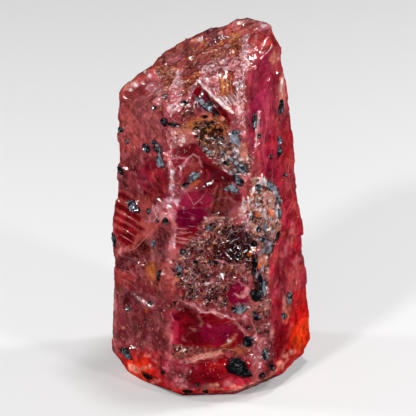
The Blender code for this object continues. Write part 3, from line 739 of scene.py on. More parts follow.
    Stroke(T.SILVER, ((258, 182), (268, 184), (275, 194), (278, 208), (277, 222)), 2, 0.85, 1.5, width=6, crust=0.3, rise=0.05, rough=0.12),
    Stroke(T.GRAPHITE, ((266, 186), (273, 196), (275, 210)), 1.6, 0.8, 1.2, width=2.4),
    Stroke(T.SOOT, ((262, 178), (273, 183), (280, 196), (282, 214), (279, 232)), 1.4, 0.9, 1, width=2),
    *spots(T.SOOT, ((254, 196), (262, 188), (268, 204), (260, 224), (272, 226), (256, 234), (266, 214), (252, 218), (264, 240), (274, 204)),
           (1.8, 2.4), soft=1.2, strength=0.95, ragged=1.6),
    *spots(T.SILVER, ((252, 190), (257, 204), (266, 198), (262, 216), (270, 220), (255, 228), (264, 234), (272, 192), (276, 212)),
           (1.8, 2.6), soft=1.2, strength=0.9, ragged=1.6, rough=0.1),
    # Painted glints on the crust.
    *spots(T.FROST, ((256, 184), (263, 194), (270, 200), (259, 210), (268, 230), (275, 220), (252, 200)), (1.1, 1.6), soft=1,
           strength=0.9, ragged=1, rough=0.1),
    *spots(T.ORANGE, ((279, 222), (278, 230), (256, 214), (270, 212)), (1.4, 2.2), soft=1.6, strength=0.7, ragged=0.8),
    Stroke(T.GRAPHITE, ((262, 228), (268, 240), (262, 252)), 3, 0.8, 1.5, width=8, grain=0.4, rough=0.12),
    Stroke(T.SILVER, ((270, 242), (264, 250), (258, 256)), 2, 0.8, 1, width=4),
    Stroke(T.SOOT, ((278, 230), (274, 244), (268, 256), (262, 270), (258, 284), (262, 296)), 2.5, 0.9, 1.2, width=6, grain=0.4),
    Stroke(T.SOOT, ((252, 248), (254, 264), (256, 280), (254, 298)), 3, 0.85, 1.5, width=6, grain=0.5),
    Area(T.PEACH, ((256, 256), (266, 254), (268, 262), (262, 270), (256, 266)), 2.5, 0.95, 1),
    Spot(T.ORANGE, ((260, 266),), 2, 1, 0.8, size=(3.4, 3), turn=20),
    *spots(T.ORANGE, ((250, 253), (254, 249)), (2.4, 1.8), soft=1.6, strength=0.95, ragged=0.6),
    Stroke(T.SAND, ((270, 262), (266, 280), (264, 300), (262, 312)), 3, 0.7, 1.2, width=5, grain=0.3),
    Stroke(T.SOOT, ((255, 252), (256, 266), (259, 282), (260, 300)), 2, 0.95, 2, width=8, grain=0.2, rough=0.12),
    *spots(T.SILVER, ((262, 278), (263, 286), (257, 274), (260, 294), (262, 268)), (1, 3), soft=1, strength=0.85, ragged=1, turn=8, rough=0.1),
    Area(T.SAND, ((246, 300), (262, 304), (272, 296), (274, 312), (260, 316), (248, 314)), 4, 0.7, grain=0.5),
    Spot(T.SILVER, ((242, 307),), 2, 0.85, size=(5, 3), grain=0.4),
    Spot(T.SOOT, ((234, 310),), 2, 0.85, size=(3, 2.4)),
    # The crimson window and what lies below it
    Area(T.RASPBERRY, ((166, 312), (184, 306), (190, 348), (178, 352), (167, 340)), 5, 0.85, 3, rough=0.12),
    Area(T.CRIMSON, ((173, 316), (186, 308), (210, 314), (232, 320), (248, 336), (240, 348), (206, 350), (178, 348)), 5, 1, 3, rough=0.09),
    Area(T.DARK_RED, ((182, 322), (196, 318), (214, 330), (206, 346), (186, 344)), 8, 0.7, rough=0.09),
    Area(T.DEEP_MAGENTA, ((196, 322), (236, 324), (240, 338), (220, 344), (202, 340)), 8, 0.75, rough=0.09),
    Area(T.DARK_RED, ((176, 304), (192, 302), (204, 310), (190, 316), (178, 314)), 3, 0.8),
    Stroke(T.PALE_PINK, ((186, 303), (196, 304), (204, 312), (214, 311), (224, 315), (234, 318)), 2, 0.85, 1.2, width=4, frost=0.3, rise=0.04),
    Stroke(T.PALE_PINK, ((234, 318), (242, 328), (248, 336)), 1.6, 0.75, 0.8, width=2.4),
    Stroke(T.SAND, ((198, 314), (202, 322), (200, 326)), 1.6, 0.6, 0.8, width=2.6),
    Stroke(T.MAGENTA, ((176, 312), (173, 328), (177, 344)), 5, 0.5, 2.5, width=7, rough=0.11),
    Stroke(T.PALE_PINK, ((172, 312), (168, 328), (171, 348)), 3, 0.5, 2, width=4),
    *spots(T.PALE_PINK, ((193, 330), (210, 326), (184, 338)), (2.4, 1), soft=1.6, strength=0.45, ragged=1.6, turn=40),
    Stroke(T.OCHRE, ((222, 346), (230, 342), (235, 334)), 2, 0.75, 1, width=4),
    Spot(T.FROST, ((229, 340),), 1.4, 0.9, 0.6, size=(2, 1.4)),
    Area(T.RUST, ((178, 346), (226, 348), (244, 346), (246, 354), (228, 352), (180, 356)), 3, 0.6, grain=0.4),
    Area(T.OCHRE, ((172, 346), (184, 346), (186, 358), (174, 358)), 3, 0.6, grain=0.8),
    Stroke(T.PEACH, ((184, 362), (196, 357), (212, 354), (222, 352)), 3, 0.8, 1.5, width=6, frost=0.2, rise=0.03),
    Stroke(T.OCHRE, ((230, 350), (240, 351), (252, 350)), 2.5, 0.75, 1, width=5),
    Area(T.CRIMSON, ((190, 364), (232, 354), (252, 360), (248, 378), (200, 386), (184, 380)), 5, 1, 3, rough=0.09),
    # Painted glow of light shining up through the foot.
    Area(T.GLOW_RED, ((206, 362), (226, 358), (226, 368), (206, 372)), 6, 0.4, rough=0.09),
    Area(T.RASPBERRY, ((164, 358), (184, 362), (198, 360), (196, 372), (180, 374), (174, 386), (164, 384)), 5, 0.8, 3),
    *spots(T.PALE_PINK, ((172, 366), (182, 362), (176, 376), (188, 368)), (2.6, 1.4), turn=20, soft=1.6, strength=0.7, ragged=1.6),
    Area(T.DARK_RED, ((178, 372), (194, 370), (192, 382), (180, 382)), 4, 0.8),
    Area(T.CRIMSON, ((214, 372), (250, 372), (252, 384), (222, 388), (206, 388)), 6, 0.8, 3, rough=0.11),
    # Along the bottom edge, the GLOW_RED strokes are painted glow of light shining up through the base.
    Stroke(T.GLOW_RED, ((196, 392), (214, 391), (232, 387), (248, 382)), 3, 0.8, 2, width=4, rough=0.12),
    Area(T.RASPBERRY, ((226, 380), (248, 376), (250, 385), (224, 389)), 4, 0.7, 2),
    *spots(T.PEACH, ((216, 384), (222, 388), (210, 386), (233, 385)), (3, 1.6), soft=2, strength=0.8, ragged=1.8),
    *spots(T.PALE_PINK, ((184, 386), (228, 384), (213, 388), (180, 380)), (4, 1.8), soft=3, strength=0.7, ragged=1.8),
    Stroke(T.GLOW_RED, ((172, 388), (184, 392), (196, 390)), 3, 0.9, 1, width=6),
    Area(T.ROSE, ((250, 338), (262, 336), (270, 348), (262, 372), (254, 374), (250, 356)), 5, 0.75, frost=0.3),
    Area(T.PALE_PINK, ((252, 338), (266, 338), (264, 350), (254, 350)), 3, 0.8, frost=0.5),
    Area(T.PLUM, ((268, 340), (276, 340), (274, 366), (266, 372)), 4, 0.7),
    Area(T.DULL_ROSE, ((250, 314), (270, 312), (270, 336), (252, 336)), 5, 0.7, grain=0.3),
    Stroke(T.PEACH, ((276, 320), (273, 330), (270, 338)), 2.5, 0.8, 1, width=6),
    Stroke(T.PALE_PINK, ((250, 316), (254, 326), (255, 338)), 1.6, 0.6, 0.8, width=2.4),
    # The right face
    Area(T.RASPBERRY, ((250, 34), (300, 34), (322, 400), (276, 380), (268, 260), (282, 230), (280, 190), (262, 174), (252, 150), (248, 80)), 4, 1, 1, rough=0.145),
    Area(T.BRICK, ((248, 34), (276, 30), (280, 52), (266, 64), (250, 70)), 5, 0.9),
    Stroke(T.SALMON, ((256, 34), (252, 56), (250, 72)), 3, 0.8, 1.2, width=6, frost=0.2),
    Stroke(T.SALMON, ((268, 34), (266, 52), (268, 66)), 3, 0.6, 1.2, width=4),
    Area(T.ROSE, ((252, 60), (278, 50), (286, 90), (282, 110), (262, 120), (250, 100)), 8, 0.8, 4),
    Area(T.MAGENTA, ((252, 70), (268, 50), (276, 84), (272, 124), (266, 176), (256, 172), (247, 110)), 6, 0.9, rough=0.14),
    Area(T.PALE_PINK, ((250, 60), (276, 48), (290, 110), (270, 170), (254, 170)), 12, 0.05, 5),
    Stroke(T.MAGENTA, ((264, 68), (262, 84), (258, 96), (252, 120), (248, 138)), 5, 0.75, 1.5, width=7, rough=0.14),
    Spot(T.PEACH, ((274, 60),), 3, 0.7, size=(3, 6), turn=-8),
    Stroke(T.PEACH, ((283, 74), (281, 88), (284, 112)), 3, 0.65, 1.2, width=6),
    Stroke(T.FROST, ((282, 78), (280, 92)), 1.6, 0.7, 0.6, width=2.6),
    Spot(T.WINE, ((274, 80),), 4, 0.7, size=(4, 5)),
    Stroke(T.PALE_PINK, ((258, 112), (257, 124), (256, 140), (255, 152)), 2, 0.75, 1, width=4, frost=0.3, rise=0.03),
    Area(T.WINE, ((276, 108), (290, 108), (290, 136), (280, 136)), 5, 0.8, rough=0.16),
    Area(T.SCARLET, ((284, 128), (294, 132), (294, 164), (286, 160)), 6, 0.6),
    Area(T.DEEP_MAGENTA, ((266, 150), (278, 150), (276, 178), (266, 180)), 4, 0.75, rough=0.14),
    *(Stroke(T.SALMON, ((x, y), (x - 1, y + 16), (x + 1, y + 34)), 3, 0.5, 1, width=3) for x, y in ((262, 118), (268, 96), (259, 150), (286, 164), (292, 186))),
    Area(T.WINE, ((282, 178), (296, 176), (298, 208), (286, 210)), 6, 0.55),
    Area(T.SCARLET, ((292, 184), (300, 190), (302, 236), (294, 226)), 5, 0.7),
    Stroke(T.PALE_PINK, ((294, 222), (288, 240), (284, 256)), 3, 0.6, 2, width=5),
    Stroke(T.PALE_PINK, ((301, 252), (296, 264), (291, 274)), 3, 0.6, 2, width=6),
    *spots(T.SALMON, ((288, 186), (296, 206), (280, 230), (292, 238), (300, 270), (276, 282), (290, 162), (276, 120)), (3.5, 7), soft=5,
           strength=0.65, ragged=4, turn=14, rough=0.13),
    Spot(T.SALMON, ((277, 256),), 5, 0.7, size=(4, 8), turn=20),
    *spots(T.CRIMSON, ((290, 214), (286, 236), (296, 250), (284, 280), (279, 304), (272, 140), (284, 196)), (4, 8), soft=6, strength=0.7,
           ragged=4, turn=10, rough=0.12),
    Area(T.WINE, ((276, 262), (300, 244), (300, 262), (280, 292), (272, 290)), 6, 0.6, rough=0.16),
    Area(T.SALMON, ((284, 268), (300, 266), (300, 290), (286, 294)), 7, 0.5),
    Area(T.WINE, ((272, 292), (284, 288), (284, 330), (274, 330)), 5, 0.6),
    Area(T.SAND, ((283, 296), (292, 292), (292, 310), (286, 326), (282, 320)), 3, 0.75, 1, rise=0.04),
    # The right foot: painted glow of light shining up through it, painted highlights near its rim and a painted bright
    # rim along the lower edge.
    Area(T.SCARLET, ((286, 314), (300, 284), (314, 296), (312, 352), (284, 374), (276, 360), (280, 340)), 10, 0.8, 3, rough=0.12),
    Area(T.CRIMSON, ((274, 334), (288, 322), (294, 338), (288, 358), (276, 362)), 5, 0.85, 2.5, rough=0.12),
    Area(T.GLOW_RED, ((290, 318), (306, 302), (314, 318), (312, 350), (294, 362), (288, 348)), 8, 0.9, 3, rough=0.12),
    Area(T.GLOW_ORANGE, ((292, 330), (306, 314), (313, 330), (305, 352), (292, 356)), 8, 1.0, 2.5, rough=0.12),
    *spots(T.ORANGE, ((302, 332), (299, 344)), (3, 4), soft=6, strength=0.35, ragged=3),
    *(Stroke(T.DARK_RED, ((x, y), (x - 5, y + 10), (x - 6, y + 20)), 2, 0.55, 1.5, width=2.6) for x, y in ((300, 306), (308, 330), (297, 338))),
    *(Stroke(T.SALMON, ((x, y), (x - 5, y + 10), (x - 8, y + 18)), 2, 0.6, 1.5, width=2.6) for x, y in ((294, 322), (303, 344), (288, 344))),
    *spots(T.GLOW_PINK, ((286, 356), (292, 352), (280, 364)), (3, 2.4), soft=3, strength=0.75, ragged=1.6),
    Stroke(T.GLOW_PINK, ((288, 360), (276, 371), (266, 379), (250, 386), (228, 391)), 3, 0.6, 2, width=4),
    Spot(T.PLUM, ((264, 376),), 3, 0.8, size=(4, 3)),
)

def scattered(
    ring: Pixels, count: int, size: tuple[float, float], tints: tuple[Tint, ...], seed: int, **more: object
) -> tuple[Spot, ...]:
    """Ovals of mixed tints and sizes at random places.

    Args:
        ring: The outline that their centres lie in.
        count: How many there are.
        size: The range of their half lengths, in pixels.
        tints: What their colours are drawn from.
        seed: Makes this scatter differ from others.
        more: Any other field of Spot.

    Returns:
        The ovals, those laid first first.
    """
    rng = np.random.default_rng(seed)
    corners, inside = np.array(ring), Area(tints[0], ring)
    made = []
    while len(made) < count:
        column, row = rng.uniform(corners.min(axis=0), corners.max(axis=0))
        if inside.depth(np.array([column]), np.array([row]))[0] > 0:
            half = rng.uniform(*size)
            oval = (half, half * rng.uniform(0.3, 0.9))
            tint = tints[rng.integers(len(tints))]
            made.append(Spot(tint, ((column, row),), size=oval, turn=rng.uniform(0, 180), **more))
    return tuple(made)


WHOLE_BACK: Pixels = ((118, 60), (160, 30), (300, 90), (316, 380), (104, 380))

BACK_PAINT: tuple[Brush, ...] = (
    *scattered(WHOLE_BACK, 60, (12, 26), (T.ROSE, T.WINE, T.RASPBERRY, T.BRICK, T.DULL_ROSE, T.CRIMSON), 1,
               soft=12, strength=0.7, ragged=6),
    Area(T.DEEP_MAGENTA, ((136, 206), (150, 200), (164, 214), (158, 262), (144, 272), (134, 240)), 9, 0.75, 7, rough=0.12),
    Area(T.SALMON, ((150, 62), (186, 50), (240, 74), (262, 104), (220, 124), (176, 108)), 9, 0.7, 6, grain=0.25),
    *scattered(((150, 60), (190, 46), (290, 92), (250, 112), (180, 90)), 40, (3, 7),
               (T.PEACH, T.COCOA, T.RUST, T.PALE_PINK, T.OCHRE, T.WINE), 2, soft=2.5, strength=0.75, ragged=3, ore=0.25),
    Area(T.CRIMSON, ((182, 152), (200, 146), (216, 158), (226, 186), (208, 200), (190, 208), (180, 184)), 7, 0.9, 6, rough=0.1),
    Area(T.OCHRE, ((206, 118), (226, 122), (230, 138), (208, 146), (198, 132)), 5, 0.7, 5, ore=0.6),
    Area(T.COCOA, ((196, 214), (216, 200), (246, 206), (258, 236), (240, 272), (214, 280), (192, 256)), 7, 0.85, 7, grain=0.6,
         rough=0.3),
    Area(T.SOOT, ((214, 226), (230, 220), (242, 234), (236, 252), (218, 250)), 4, 0.85, 5, grain=0.3, rough=0.14),
    *scattered(((190, 206), (256, 200), (262, 276), (196, 286)), 46, (2, 5),
               (T.SOOT, T.DULL_ROSE, T.RUST, T.PEACH, T.PLUM, T.SAND, T.COCOA), 3, soft=2, strength=0.8, ragged=2.5, grain=0.5),
    Area(T.CRIMSON, ((206, 312), (226, 298), (252, 306), (250, 330), (228, 342), (204, 334)), 7, 0.9, 6, rough=0.1),
    Area(T.DARK_RED, ((212, 320), (230, 310), (242, 322), (226, 334)), 6, 0.6, 4, rough=0.1),
    Stroke(T.PALE_PINK, ((152, 136), (168, 188), (165, 240), (172, 300)), 4, 0.75, 3, width=7, frost=0.45, rise=0.05),
    Stroke(T.PALE_PINK, ((180, 290), (196, 282), (222, 284), (246, 294)), 3, 0.8, 3, width=5, frost=0.4, rise=0.04),
    Stroke(T.FROST, ((200, 131), (214, 138), (228, 151), (250, 177)), 2.5, 0.8, 3, width=5, frost=0.6, rise=0.05),
    Area(T.WINE, ((262, 204), (284, 192), (304, 208), (300, 236), (272, 250)), 8, 0.8, 6, rough=0.14),
    *(Stroke(T.DARK_RED, ((304, y), (288, y + 9), (272, y + 18)), 1.8, 0.8, 1.6, width=4.5, rough=0.1)
      for y in (176, 190, 203, 216, 262, 276)),
    Stroke(T.PALE_PINK, ((268, 112), (262, 150), (268, 192), (280, 224)), 3, 0.7, 3, width=5, frost=0.4, rise=0.04),
    Stroke(T.SALMON, ((256, 300), (274, 285), (296, 291)), 3, 0.8, 3, width=6, rise=0.04),
    *scattered(WHOLE_BACK, 90, (3, 8), (T.SALMON, T.DARK_RED, T.PALE_PINK, T.WINE, T.MAUVE, T.MAGENTA, T.PLUM), 4,
               soft=4, strength=0.55, ragged=4),
    # The corners at the foot, lit through
    Area(T.GLOW_RED, ((104, 306), (124, 316), (140, 346), (146, 376), (112, 378)), 12, 0.75, 7, rough=0.15),
    Area(T.GLOW_ORANGE, ((106, 322), (118, 326), (128, 348), (118, 362), (106, 356)), 10, 0.8, 5, rough=0.15),
    Area(T.GLOW_RED, ((284, 352), (306, 340), (306, 366), (272, 384), (268, 370)), 10, 0.75, 6, rough=0.15),
    Area(T.SCARLET, ((170, 366), (196, 356), (240, 362), (250, 380), (180, 388)), 9, 0.7, 6, frost=0.1),
    *scattered(((108, 330), (140, 340), (280, 350), (304, 344), (290, 384), (120, 380)), 36, (2, 6),
               (T.GLOW_ORANGE, T.DARK_RED, T.GLOW_PINK, T.SALMON, T.CRIMSON), 5, soft=3, strength=0.6, ragged=3),
    *scattered(WHOLE_BACK, 60, (1.5, 3), (T.FROST, T.PEACH, T.SOOT, T.OCHRE, T.PALE_PINK), 6, soft=1.6, strength=0.7, ragged=1.4),
)


@dataclass(frozen=True)
class Speck:
    """A rule for specks: noise of this length and seed, past a start, takes this tint."""

    tint: Tint
    amount: str
    length: float
    seed: float
    sign: int
    start: float
    strength: float = 0.85
    edge: float = 0.14

    @property
    def field(self) -> tuple[float, float]:
        """What tells the speck's noise from others."""
        return self.length, self.seed


SPECKS = (
    Speck(Tint.SOOT, "grain", 0.6, 71.0, 1, 0.2, 0.6, 0.2),
    Speck(Tint.RUST, "grain", 0.95, 72.0, 1, 0.2, 0.5, 0.2),
    Speck(Tint.WINE, "grain", 0.95, 72.0, -1, 0.2, 0.6, 0.2),
    Speck(Tint.ROSE, "frost", 0.7, 73.0, 1, 0.1, 0.8, 0.2),
    Speck(Tint.DARK_RED, "all", 0.3, 75.0, -1, 0.6, 0.4),
)


VEILS = (
    Speck(Tint.DARK_RED, "clean", 1.6, 81.0, 1, 0.2, 0.4, 0.3),
    Speck(Tint.PALE_PINK, "clean", 1.2, 82.0, 1, 0.25, 0.25, 0.4),
    Speck(Tint.DARK_RED, "clean", 0.62, 83.0, 1, 0.35, 0.4, 0.25),
    Speck(Tint.SALMON, "clean", 0.5, 84.0, 1, 0.4, 0.35, 0.25),
    Speck(Tint.PALE_PINK, "clean", 0.3, 85.0, 1, 0.65, 0.5, 0.15),
    Speck(Tint.DARK_RED, "clean", 0.3, 86.0, 1, 0.55, 0.4, 0.15),
)


@dataclass(frozen=True)
class Mosaic:
    """Angular patches of mixed tints, one to each cell of the broken surface.

    size is the width of a cell in millimetres and tints are drawn from evenly, so that one
    that is named twice comes up twice as often.
    """

    amount: str
    size: float
    strength: float
    seed: float
    tints: tuple[Tint, ...]

    def colours(self, points: Points) -> Points:
        """The colour of the cell that each point lies in."""
        table = np.array([tint.linear() for tint in self.tints])
        shift = 0.25 * self.size * np.column_stack([wander(points, self.size * 0.6, self.seed + k) for k in range(3)])
        picks = np.empty(len(points), int)
        for i, place in enumerate(((points + shift) / self.size + self.seed).tolist()):
            cell = noise.voronoi(place)[1][0]
            picks[i] = int((noise.noise(cell * 9.7) * 0.5 + 0.5) * 7919) % len(table)
        return table[picks]


MOSAICS = (
    Mosaic("grain", 0.6, 0.45, 3.0, (T.COCOA, T.SOOT, T.SOOT, T.BRICK, T.WINE, T.COCOA, T.COCOA, T.DARK_RED)),
    Mosaic("frost", 0.55, 0.6, 5.0, (T.PALE_PINK, T.FROST, T.PEACH, T.ROSE, T.SALMON, T.ROSE, T.BRICK)),
    Mosaic("ore", 0.5, 0.35, 7.0, (T.SOOT, T.UMBER, T.RUST, T.SALMON, T.OCHRE, T.RUST)),
    Mosaic("crust", 0.6, 0.45, 9.0, (T.SAND, T.PEACH, T.DULL_ROSE, T.SAND, T.GRAPHITE, T.UMBER, T.OCHRE)),
)


@dataclass
class Canvas:
    """The crystal's surface while it is painted: a colour and some amounts for each point."""

    points: Points
    normals: Points
    colour: Points = field(init=False)
    grain: Points = field(init=False)
    frost: Points = field(init=False)
    ore: Points = field(init=False)
    crust: Points = field(init=False)
    rough: Points = field(init=False)
    rise: Points = field(init=False)
    drift: Points = field(init=False)

    BASE_ROUGH = 0.24
    CLEAR_ROUGH = 0.115
    DRIFT_COARSE, DRIFT_FINE = 0.8, 0.24
    SOFTNESS = 0.6
    # How much painted shade and painted highlight the fine relief gets.
    RELIEF_SHADE_AND_HIGHLIGHT = 0.5
    DEEPEST = 0.72

    def __post_init__(self) -> None:
        """Lays the ground coat and works out how edges wander."""
        count = len(self.points)
        cloud = wander(self.points, 3.2, 21.0)[:, None]
        fine = wander(self.points, 1.1, 22.0)[:, None]
        ground = Tint.ROSE.linear() + (Tint.WINE.linear() - Tint.ROSE.linear()) * smooth(0.5 + cloud)
        self.colour = ground + (Tint.SALMON.linear() - ground) * smooth(0.35 * fine)
        self.grain = np.zeros(count)
        self.frost = np.zeros(count)
        self.ore = np.zeros(count)
        self.crust = np.zeros(count)
        self.rise = np.zeros(count)
        self.rough = np.full(count, self.BASE_ROUGH)
        self.drift = np.column_stack(
            [
                wander(self.points, self.DRIFT_COARSE, seed) + 0.9 * wander(self.points, self.DRIFT_FINE, seed + 1)
                for seed in (31.0, 35.0)
            ]
        )

    @property
    def rugged(self) -> Points:
        """How rough and speckled each point is, whatever with."""
        return np.clip(self.grain + self.frost + self.ore + self.crust, 0, 1)

    @property
    def cloudy(self) -> Points:
        """How dull the skin of each point is: the clear, glossy windows have none."""
        return 0.06 + 0.94 * smooth((self.rough - self.CLEAR_ROUGH) / 0.08)

    def paint(self, brushes: tuple[Brush, ...], side: Side) -> None:
        """Lays a side's marks on one after another.

        Args:
            brushes: The marks, the lowest first.
            side: The side that they are seen on.
        """
        column, row = pixels_of(self.points, side)
        facing = self.normals @ toward_eye(side)
        shown = smooth((facing - 0.02) / 0.16)
        if side is Side.BACK:
            shown *= 1 - smooth((self.normals @ toward_eye(Side.FRONT) - 0.02) / 0.16)
        for brush in brushes:
            self.lay(brush, column, row, shown)

    def lay(self, brush: Brush, column: Points, row: Points, shown: Points) -> None:
        """Lays one mark on the points that it reaches."""
        corners = np.array(brush.pixels)
        low, high = corners.min(axis=0) - brush.reach(), corners.max(axis=0) + brush.reach()
        near = (column > low[0]) & (column < high[0]) & (row > low[1]) & (row < high[1]) & (shown > 0)
        near = np.nonzero(near)[0]
        if not len(near):
            return
        moved = self.drift[near] * brush.ragged
        depth = brush.depth(column[near] + moved[:, 0], row[near] + moved[:, 1])
        weight = smooth(depth / (brush.soft * self.SOFTNESS + 0.1) + 0.5) * shown[near]
        share = (weight * brush.strength)[:, None]
        self.colour[near] += (brush.tint.linear() - self.colour[near]) * share
        for name in ("grain", "frost", "ore", "crust", "rough"):
            target = getattr(brush, name)
            values = getattr(self, name)
            if target is None and name != "rough":
                target = 0.0
            if target is not None:
                values[near] += (target - values[near]) * weight * brush.strength
        self.rise[near] += brush.rise * weight

    def cleave(self) -> None:
        """Gives each cell of the surface its own shade, as if cleaved a little deeper or less."""
        shift = 0.5 * np.column_stack([wander(self.points, 0.9, seed) for seed in (61.0, 62.0, 63.0)])
        places = self.points + shift
        dull = np.clip(1 - self.rugged, 0, 1)
        for size, depth in ((1.7, 0.3), (0.62, 0.34)):
            shade = np.zeros(len(places))
            warm = np.zeros(len(places))
            for i, place in enumerate((places / size).tolist()):
                cell = noise.voronoi(place)[1][0]
                shade[i], warm[i], _ = noise.noise_vector(cell * 5.3)
            gain = 1 + depth * 1.5 * shade
            hue = 1 + 0.3 * depth * warm[:, None] * np.array([0.3, 1.2, -1.4]) * dull[:, None]
            self.colour *= gain[:, None] * hue

    def veil(self) -> None:
        """Lays deep patches and pale veils with crisp edges over the clean places."""
        warp = 0.5 * np.column_stack([wander(self.points, 0.9, seed) for seed in (64.0, 65.0, 66.0)])
        clean = np.clip(1 - self.rugged, 0, 1) * self.cloudy
        for veil in VEILS:
            value = wander(self.points + warp, veil.length, veil.seed)
            share = smooth((value - veil.start) / veil.edge) * veil.strength * clean
            self.colour += (veil.tint.linear() - self.colour) * share[:, None]

    def speckle(self) -> None:
        """Breaks up the granular and the frosty places with blotches and small specks."""
        amounts = {name: getattr(self, name) for name in ("grain", "frost", "ore", "crust")}
        amounts["all"] = np.ones(len(self.points))
        for mosaic in MOSAICS:
            amount = amounts[mosaic.amount]
            near = np.nonzero(amount > 0.03)[0]
            share = smooth(amount[near] * 1.4)[:, None] * mosaic.strength
            self.colour[near] += (mosaic.colours(self.points[near]) - self.colour[near]) * share
        fields = {speck.field: None for speck in SPECKS}
        for length, seed in fields:
            fields[length, seed] = wander(self.points, length, seed)
        for speck in SPECKS:
            value = fields[speck.field] * speck.sign
            share = smooth((value - speck.start) / speck.edge) * amounts[speck.amount] * speck.strength
            self.colour += (speck.tint.linear() - self.colour) * share[:, None]

    def deepen(self) -> None:
        """Takes green and blue out of the darker colours, as ruby does."""
        pale = smooth((self.colour[:, 1:].min(axis=1) - 0.12) / 0.3)
        keep = self.DEEPEST + (1 - self.DEEPEST) * pale
        self.colour[:, 1:] *= keep[:, None]

    def paint_relief_shade_and_highlight(self, relief: Points) -> None:
        """Paints shade into the hollows of the fine relief and paints light onto its crests."""
        self.colour *= 1 + self.RELIEF_SHADE_AND_HIGHLIGHT * np.clip(relief / 0.1, -1, 1.2)[:, None]


@dataclass(frozen=True)
class Grit:
    """Fine angular grains in the finish, as thick as one of the painted amounts says.

    tints are drawn from evenly, so that one that is named twice comes up twice as often.
    """

    amount: str
    strength: float
    tints: tuple[Tint, ...]


GRITS = (
    Grit("grain", 0.9, (T.SOOT, T.COCOA, T.DARK_RED, T.SOOT, T.BRICK, T.COCOA, T.SOOT, T.RUST, T.WINE, T.DULL_ROSE,
                        T.PEACH, T.COCOA, T.SOOT, T.RUST, T.DARK_RED, T.SALMON, T.WINE)),
    Grit("frost", 0.85, (T.FROST, T.PALE_PINK, T.ROSE, T.SALMON, T.PALE_PINK, T.BRICK, T.FROST, T.WINE, T.PEACH)),
    Grit("ore", 0.9, (T.UMBER, T.GOLD, T.RUST, T.SOOT, T.OCHRE, T.SALMON, T.OCHRE, T.PEACH, T.RUST, T.COCOA, T.GOLD)),
    Grit("crust", 0.95, (T.SAND, T.GRAPHITE, T.PEACH, T.SOOT, T.SILVER, T.SAND, T.SOOT, T.FROST, T.RUST, T.PEACH)),
)


